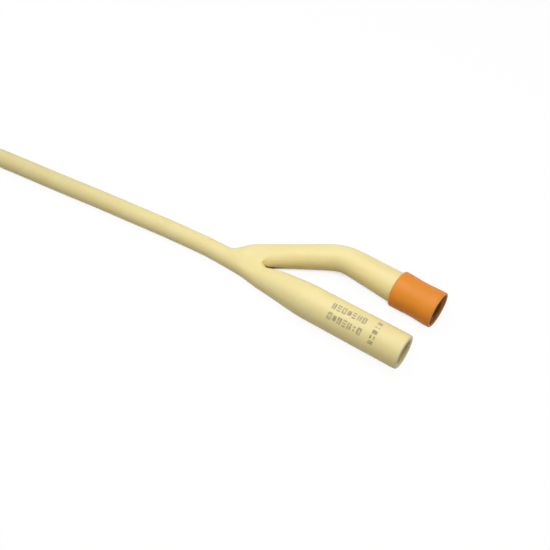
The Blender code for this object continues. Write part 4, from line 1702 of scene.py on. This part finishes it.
@dataclass
class Balloon:
    """The empty balloon: a thin cuff on the shaft, softly pleated between its bonded ends."""

    shaft: Shaft
    wall: float = 0.00038
    gap: float = 0.0003
    end: float = 0.0042
    pleat: float = 0.00016
    pleats: float = 3.4
    pleat_run: float = 22.0
    pleat_level: float = 0.62
    pleat_gain: float = 2.6
    seed: float = 5.0
    bite: float = 0.00003
    lead: float = 0.00012
    free: float = 0.00015
    cuts: int = 80
    turns: int = 144

    def __post_init__(self) -> None:
        """Place the cuff on the shaft."""
        self.length = self.shaft.balloon_length
        rear = self.shaft.length - self.shaft.balloon_to_tip - self.length
        self.start = self.shaft.route.point(rear)
        self.direction = (self.shaft.route.point(rear + self.length) - self.start).normalized()
        self.bond = self.shaft.diameter / 2.0 - self.bite
        self.full = self.shaft.diameter / 2.0 + self.gap + self.wall

    def build(self, material: bpy.types.Material) -> bpy.types.Object:
        """Turn the cuff and pleat it.

        Args:
            material: The balloon's latex.

        Returns:
            The balloon's object.
        """
        section = []
        for k in range(self.cuts + 1):
            height = self.length * k / self.cuts
            share = min(1.0, min(height, self.length - height) / self.end)
            outer = across(self.bond + self.lead, self.full, share * share * (3.0 - 2.0 * share))
            section.append((outer, height))
        section += [(self.bond, self.length * share) for share in (1.0, 0.75, 0.5, 0.25, 0.0)]
        cuff = Turning(self.start, self.direction, self.turns).turn("empty_balloon", section)
        rule = Rule("pleated_cuff")
        rule.close(self.pleated(rule), material)
        return rule.run(cuff)

    def pleated(self, rule: Rule) -> bpy.types.NodeSocket:
        """Press lengthwise pleats into the cuff's outside.

        Args:
            rule: The tree.

        Returns:
            The pleated shape.
        """
        axis = rule.size("Axis", tuple(self.direction), "NodeSocketVector")
        origin = rule.size("Start", tuple(self.start), "NodeSocketVector")
        depth, folds = rule.size("Pleat depth", self.pleat), rule.size("Pleats", self.pleats)
        offset = rule.vector("SUBTRACT", rule.position(), origin)
        height = rule.vector("DOT_PRODUCT", offset, axis, output="Value")
        radial = rule.vector("SUBTRACT", offset, rule.scaled(axis, height))
        outward = rule.vector("NORMALIZE", radial)
        around = rule.scaled(outward, folds)
        along = rule.scaled(axis, rule.maths("MULTIPLY", height, self.pleat_run))
        noise: Inputs = {"Vector": rule.vector("ADD", around, along), "Scale": 1.0}
        noise.update({"W": rule.size("Seed", self.seed), "Detail": 1.5, "Roughness": 0.45})
        waves = rule.node("ShaderNodeTexNoise", noise, noise_dimensions="4D").outputs["Fac"]
        swing = rule.maths("SUBTRACT", waves, self.pleat_level)
        swing = rule.maths("MULTIPLY", rule.maths("MULTIPLY", swing, self.pleat_gain), depth)
        reach = rule.vector("LENGTH", radial, output="Value")
        free = rule.stretch(reach, self.bond + self.free, self.full, 0.0, 1.0)
        inward = rule.maths("MINIMUM", rule.maths("MULTIPLY", swing, free), 0.0)
        moved = rule.node("GeometryNodeSetPosition", {
            "Geometry": rule.inlet.outputs["Geometry"], "Offset": rule.scaled(outward, inward),
        })
        return moved.outputs["Geometry"]

    def dress(self, cuff: bpy.types.Object) -> None:
        """Put the balloon in its node's place."""
        stand_in(cuff, "balloon", Slot.BALLOON)


@dataclass
class Tip:
    """The round-nosed tip with its blind lumen and two staggered eyes.

    Its wall is a cage of square cells, left open in a block about each eye.
    """

    HALF_BLOCK = 3
    FIRST_ROWS = (0.0, 0.0004, 0.002)
    PLAIN_LENGTH = 0.0025
    EYE_RINGS = ((0.0, 1.16), (0.0, 1.04), (0.22, 0.98), (0.6, 0.97), (1.0, 1.0), (1.0, 1.12))

    shaft: Shaft
    length: float = 0.022
    nose: float = 0.0045
    lumen_radius: float = 0.0014
    eye_length: float = 0.0046
    eye_width: float = 0.0024
    near_eye: float = 0.0085
    stagger: float = 0.0055
    cell: float = 0.0011
    cell_width: float = 0.0007
    sides: int = 24
    lumen_ease: float = 1.02
    fineness: int = 2

    def __post_init__(self) -> None:
        """Place the tip on the end of the shaft."""
        gap = self.shaft.funnel.seat_gap
        self.start = self.shaft.route.point(self.shaft.length + gap)
        ahead = self.shaft.route.point(self.shaft.length + self.length)
        self.direction = (ahead - self.start).normalized()
        self.side = Vector((-self.direction.y, self.direction.x, 0.0))
        self.rise = self.direction.cross(self.side)
        self.radius = self.shaft.diameter / 2.0
        first = self.length - self.near_eye
        self.eyes = [(first, 0), (first - self.stagger, self.sides // 2)]

    def spot(self, height: float, turn: float, radius: float) -> Vector:
        """A point by its height along the tip, its turn about it and its radius."""
        out = self.side * math.cos(turn) + self.rise * math.sin(turn)
        return self.start + self.direction * height + out * radius

    def build(self) -> bpy.types.Object:
        """Build the tip's wall with its eyes.

        Returns:
            The tip's object.
        """
        mesh = bmesh.new()
        half = self.HALF_BLOCK
        rows = {round(h + k * self.cell, 7) for h, _ in self.eyes for k in range(-half, half + 1)}
        heights = [*self.FIRST_ROWS, *sorted(h for h in rows if h > self.PLAIN_LENGTH)]
        spread = cage_spread(self.sides)
        outer, inner = self.radius * spread, self.lumen_radius * spread
        walls = [[self.row(mesh, h, radius) for h in heights] for radius in (outer, inner)]
        nose_start = self.length - self.nose
        domes = [self.dome(mesh, nose_start, outer, self.nose, 6)]
        domes.append(self.dome(mesh, nose_start - self.lumen_radius, inner, self.lumen_radius, 4))
        for wall, dome in zip(walls, domes):
            self.skin(mesh, wall + dome[:-1], heights)
            for k in range(self.sides):
                mesh.faces.new((dome[-2][k], dome[-2][(k + 1) % self.sides], dome[-1][0]))
        chain(mesh, [walls[0][0], walls[1][0]])
        for height, column in self.eyes:
            self.eye(mesh, walls, heights, height, column)
        loose = [vert for vert in mesh.verts if not vert.link_faces]
        bmesh.ops.delete(mesh, geom=loose, context="VERTS")
        return smoothed(from_bmesh("rounded_tip", mesh), self.fineness)

    def row(self, mesh: bmesh.types.BMesh, height: float, radius: float) -> Ring:
        """A ring of points about the tip's axis."""
        turns = [2.0 * math.pi * k / self.sides for k in range(self.sides)]
        return [mesh.verts.new(self.spot(height, t, radius)) for t in turns]

    def dome(
        self, mesh: bmesh.types.BMesh, start: float, radius: float, reach: float, steps: int,
    ) -> list[Ring]:
        """Lay the rings of a round end.

        Args:
            mesh: The tip's mesh.
            start: The height at which it starts.
            radius: Its radius there.
            reach: How far it reaches.
            steps: How many steps it has.

        Returns:
            The rings, with the pole as the last one.
        """
        rings = []
        for k in range(1, steps):
            angle = math.pi / 2.0 * k / steps
            rings.append(self.row(mesh, start + reach * math.sin(angle), radius * math.cos(angle)))
        return rings + [[mesh.verts.new(self.spot(start + reach, 0.0, 0.0))]]

    def skin(self, mesh: bmesh.types.BMesh, rows: list[Ring], heights: list[float]) -> None:
        """Make the faces between rows, left open in a block about each eye.

        Args:
            mesh: The tip's mesh.
            rows: The rows of points of one wall and its round end.
            heights: The heights of the wall's rows.
        """
        for j, (first, second) in enumerate(zip(rows, rows[1:])):
            for k in range(self.sides):
                if j + 1 < len(heights) and self.in_eye((heights[j] + heights[j + 1]) / 2.0, k):
                    continue
                after = (k + 1) % self.sides
                mesh.faces.new((first[k], first[after], second[after], second[k]))

    def in_eye(self, height: float, column: int) -> bool:
        """Find whether a cell of the wall lies in the block about an eye.

        Args:
            height: The height of the cell's middle.
            column: The cell's column.

        Returns:
            Whether it lies in one.
        """
        half, turn = self.HALF_BLOCK, self.sides // 2
        for eye_height, middle in self.eyes:
            beside = (column - middle + turn) % self.sides - turn
            if abs(height - eye_height) < half * self.cell and -half <= beside < half:
                return True
        return False

    def eye(
        self, mesh: bmesh.types.BMesh, walls: list[list[Ring]], heights: list[float],
        height: float, column: int,
    ) -> None:
        """Line an eye with rings from the outer wall to the lumen.

        Args:
            mesh: The tip's mesh.
            walls: The rows of points of the outer wall and the lumen.
            heights: The rows' heights.
            height: The eye's height.
            column: The column at its middle.
        """
        half = self.HALF_BLOCK
        rows = [j for j, h in enumerate(heights) if abs(h - height) < half * self.cell + HAIR]
        cells = [(rows[0], c) for c in range(-half, half + 1)]
        cells += [(r, half) for r in rows[1:]]
        cells += [(rows[-1], c) for c in range(half - 1, -half - 1, -1)]
        cells += [(r, -half) for r in rows[-2:0:-1]]
        outer, inner = ([wall[r][(column + c) % self.sides] for r, c in cells] for wall in walls)
        middle = 2.0 * math.pi * column / self.sides
        bearings = [math.atan2(heights[r] - height, c * self.cell_width) for r, c in cells]
        rings = [outer]
        for depth, grow in self.EYE_RINGS:
            radius = across(self.radius, self.lumen_radius, depth)
            reach = max(radius, self.lumen_radius * self.lumen_ease)
            ring = []
            for bearing in bearings:
                aside = self.eye_width / 2.0 * grow * math.cos(bearing)
                ahead = self.eye_length / 2.0 * grow * math.sin(bearing)
                turn = middle + math.asin(aside / reach)
                ring.append(mesh.verts.new(self.spot(height + ahead, turn, radius)))
            rings.append(ring)
        chain(mesh, rings + [inner])

    def dress(self, tip: bpy.types.Object, effects: Effects) -> None:
        """Finish the tip and put it in its node's place.

        Args:
            tip: The tip's object.
            effects: The shared node groups.
        """
        tip.data.materials.append(Latex("tip_latex", patch=0.005, skin_depth=0.000008).make(effects))
        stand_in(tip, "catheter_tip", Slot.LATEX)


# Studio

@dataclass
class Studio:
    """A pale floor, soft light from above, and the camera."""

    target: Vector = field(default_factory=lambda: Vector((-0.01249, -0.00305, 0.0)))
    elevation: float = math.radians(54.0)
    azimuth: float = math.radians(33.23)
    distance: float = 0.26642
    lens: float = 62.84
    film: float = 36.0
    sight: tuple[float, float] = (0.001, 20.0)
    key_aside: float = 0.006
    key_height: float = 0.145
    key_size: float = 0.12
    key_level: float = 0.70
    far_offset: tuple[float, float, float] = (-0.215, 0.01, 0.1)
    far_size: float = 0.1
    far_level: float = 0.6
    sky_level: float = 0.42
    floor_reach: float = 3.0
    floor_matt: Colour = (0.36, 0.35, 0.33)
    floor_pale: Colour = (0.06, 0.06, 0.06)
    # Reach and levels of the floor's painted contact shadow.
    contact: float = 0.004
    contact_open: tuple[float, float] = (0.1, 0.25)
    contact_level: tuple[float, float] = (0.02, 0.95)

    def __post_init__(self) -> None:
        """Find the camera's own directions along the floor."""
        self.right = Vector((math.cos(self.azimuth), math.sin(self.azimuth), 0.0))
        self.away = Vector((-math.sin(self.azimuth), math.cos(self.azimuth), 0.0))

    def build(self) -> None:
        """Make the camera, the lamps, the sky and the floor."""
        bpy.context.scene.view_settings.view_transform = "Standard"
        self.camera()
        key = self.right * self.key_aside + Vector((0.0, 0.0, self.key_height))
        self.lamp("key", key, self.key_size, self.key_level)
        self.lamp("far_end", Vector(self.far_offset), self.far_size, self.far_level)
        self.sky()
        self.floor()

    def camera(self) -> None:
        """Place the camera at the photograph's angle."""
        data = bpy.data.cameras.new("camera")
        data.lens = self.lens
        data.sensor_width = self.film
        data.clip_start, data.clip_end = self.sight
        obj = link("camera", data)
        back = -self.away * math.cos(self.elevation) + Vector((0.0, 0.0, math.sin(self.elevation)))
        obj.location = self.target + back * self.distance
        obj.rotation_euler = back.to_track_quat("Z", "Y").to_euler()
        bpy.context.scene.camera = obj

    def lamp(self, name: str, offset: Vector, size: float, level: float) -> None:
        """Add a square area lamp that faces down.

        Args:
            name: The lamp's name.
            offset: Where it stands from the object's middle.
            size: The length of its side.
            level: How brightly a white surface right under it renders.
        """
        data = bpy.data.lights.new(name, "AREA")
        data.size = size
        data.energy = level * math.pi**2 * offset.z**2
        obj = link(name, data)
        obj.location = self.target + offset
        obj.visible_camera = False

    def sky(self) -> None:
        """Light the object evenly from all round, with a white ground behind it."""
        world = bpy.data.worlds.new("sky")
        bpy.context.scene.world = world
        world.use_nodes = True
        graph = Graph(world.node_tree)
        back = world.node_tree.nodes["Background"]
        seen = self.seen(graph)
        graph.feed(back.inputs["Strength"], graph.stretch(seen, 0.0, 1.0, self.sky_level, 1.0))
        graph.feed(back.inputs["Color"], opaque((1.0, 1.0, 1.0)))

    def seen(self, graph: Graph) -> bpy.types.NodeSocket:
        """Tell rays from the camera, a reflection or a clear piece from the rest.

        Args:
            graph: The tree that asks.

        Returns:
            The output that is 1 for such a ray.
        """
        rays = graph.node("ShaderNodeLightPath").outputs
        mirrored = graph.maths("MAXIMUM", rays["Is Glossy Ray"], rays["Is Transmission Ray"])
        return graph.maths("MAXIMUM", rays["Is Camera Ray"], mirrored)

    def floor(self) -> None:
        """Lay a white floor that keeps a faint shadow, with a painted contact shadow close to the
        object.
        """
        data = bpy.data.meshes.new("floor")
        signs = ((-1.0, -1.0), (1.0, -1.0), (1.0, 1.0), (-1.0, 1.0))
        corners = [(x * self.floor_reach, y * self.floor_reach, 0.0) for x, y in signs]
        data.from_pydata(corners, [], [(0, 1, 2, 3)])
        obj = link("floor", data)
        material = bpy.data.materials.new("floor")
        material.use_nodes = True
        graph = Graph(material.node_tree)
        material.node_tree.nodes.remove(material.node_tree.nodes["Principled BSDF"])
        out = material.node_tree.nodes["Material Output"]
        matt = graph.node("ShaderNodeBsdfDiffuse", {"Color": opaque(self.floor_matt)}).outputs["BSDF"]
        pale = graph.node("ShaderNodeBsdfDiffuse", {"Color": opaque(self.floor_pale)}).outputs["BSDF"]
        # Painted contact shadow: the floor's glow dims where ambient occlusion finds the object close.
        crease = graph.node("ShaderNodeAmbientOcclusion", {"Distance": self.contact}, samples=8)
        open_floor = graph.stretch(crease.outputs["AO"], *self.contact_open, *self.contact_level)
        bright = graph.node("ShaderNodeEmission", {"Strength": open_floor}).outputs["Emission"]
        white = graph.node("ShaderNodeAddShader", {0: pale, 1: bright}).outputs["Shader"]
        mixed = graph.node("ShaderNodeMixShader", {0: self.seen(graph), 1: matt, 2: white})
        graph.feed(out.inputs["Surface"], mixed.outputs["Shader"])
        data.materials.append(material)


def main() -> None:
    """Build the catheter piece by piece."""
    logging.basicConfig(level=logging.INFO, format="%(name)s %(message)s")
    Studio().build()
    effects = Effects()
    funnel = Funnel()
    shaft = Shaft(funnel)
    balloon, tip = Balloon(shaft), Tip(shaft)
    tube = shaft.build(Latex("shaft_latex", patch=0.006).make(effects, along_tube=True))
    thin = Latex("balloon_latex", body=(0.87, 0.70, 0.36), pale=(0.92, 0.79, 0.47), roughness=0.35)
    cuff = balloon.build(thin.make(effects))
    nose = tip.build()
    balloon.dress(cuff)
    tip.dress(nose, effects)
    shaft.dress(tube, [cuff, nose])
    funnel.dress(funnel.build(), effects)
    print_rows = Print(funnel)
    print_rows.dress(print_rows.build(PrintInk().make(effects)))
    sleeve, plug = Sleeve(funnel), Plug(funnel)
    sleeve.dress(sleeve.build(), effects)
    plug.dress(plug.build(), effects)


if __name__ == "__main__":
    main()
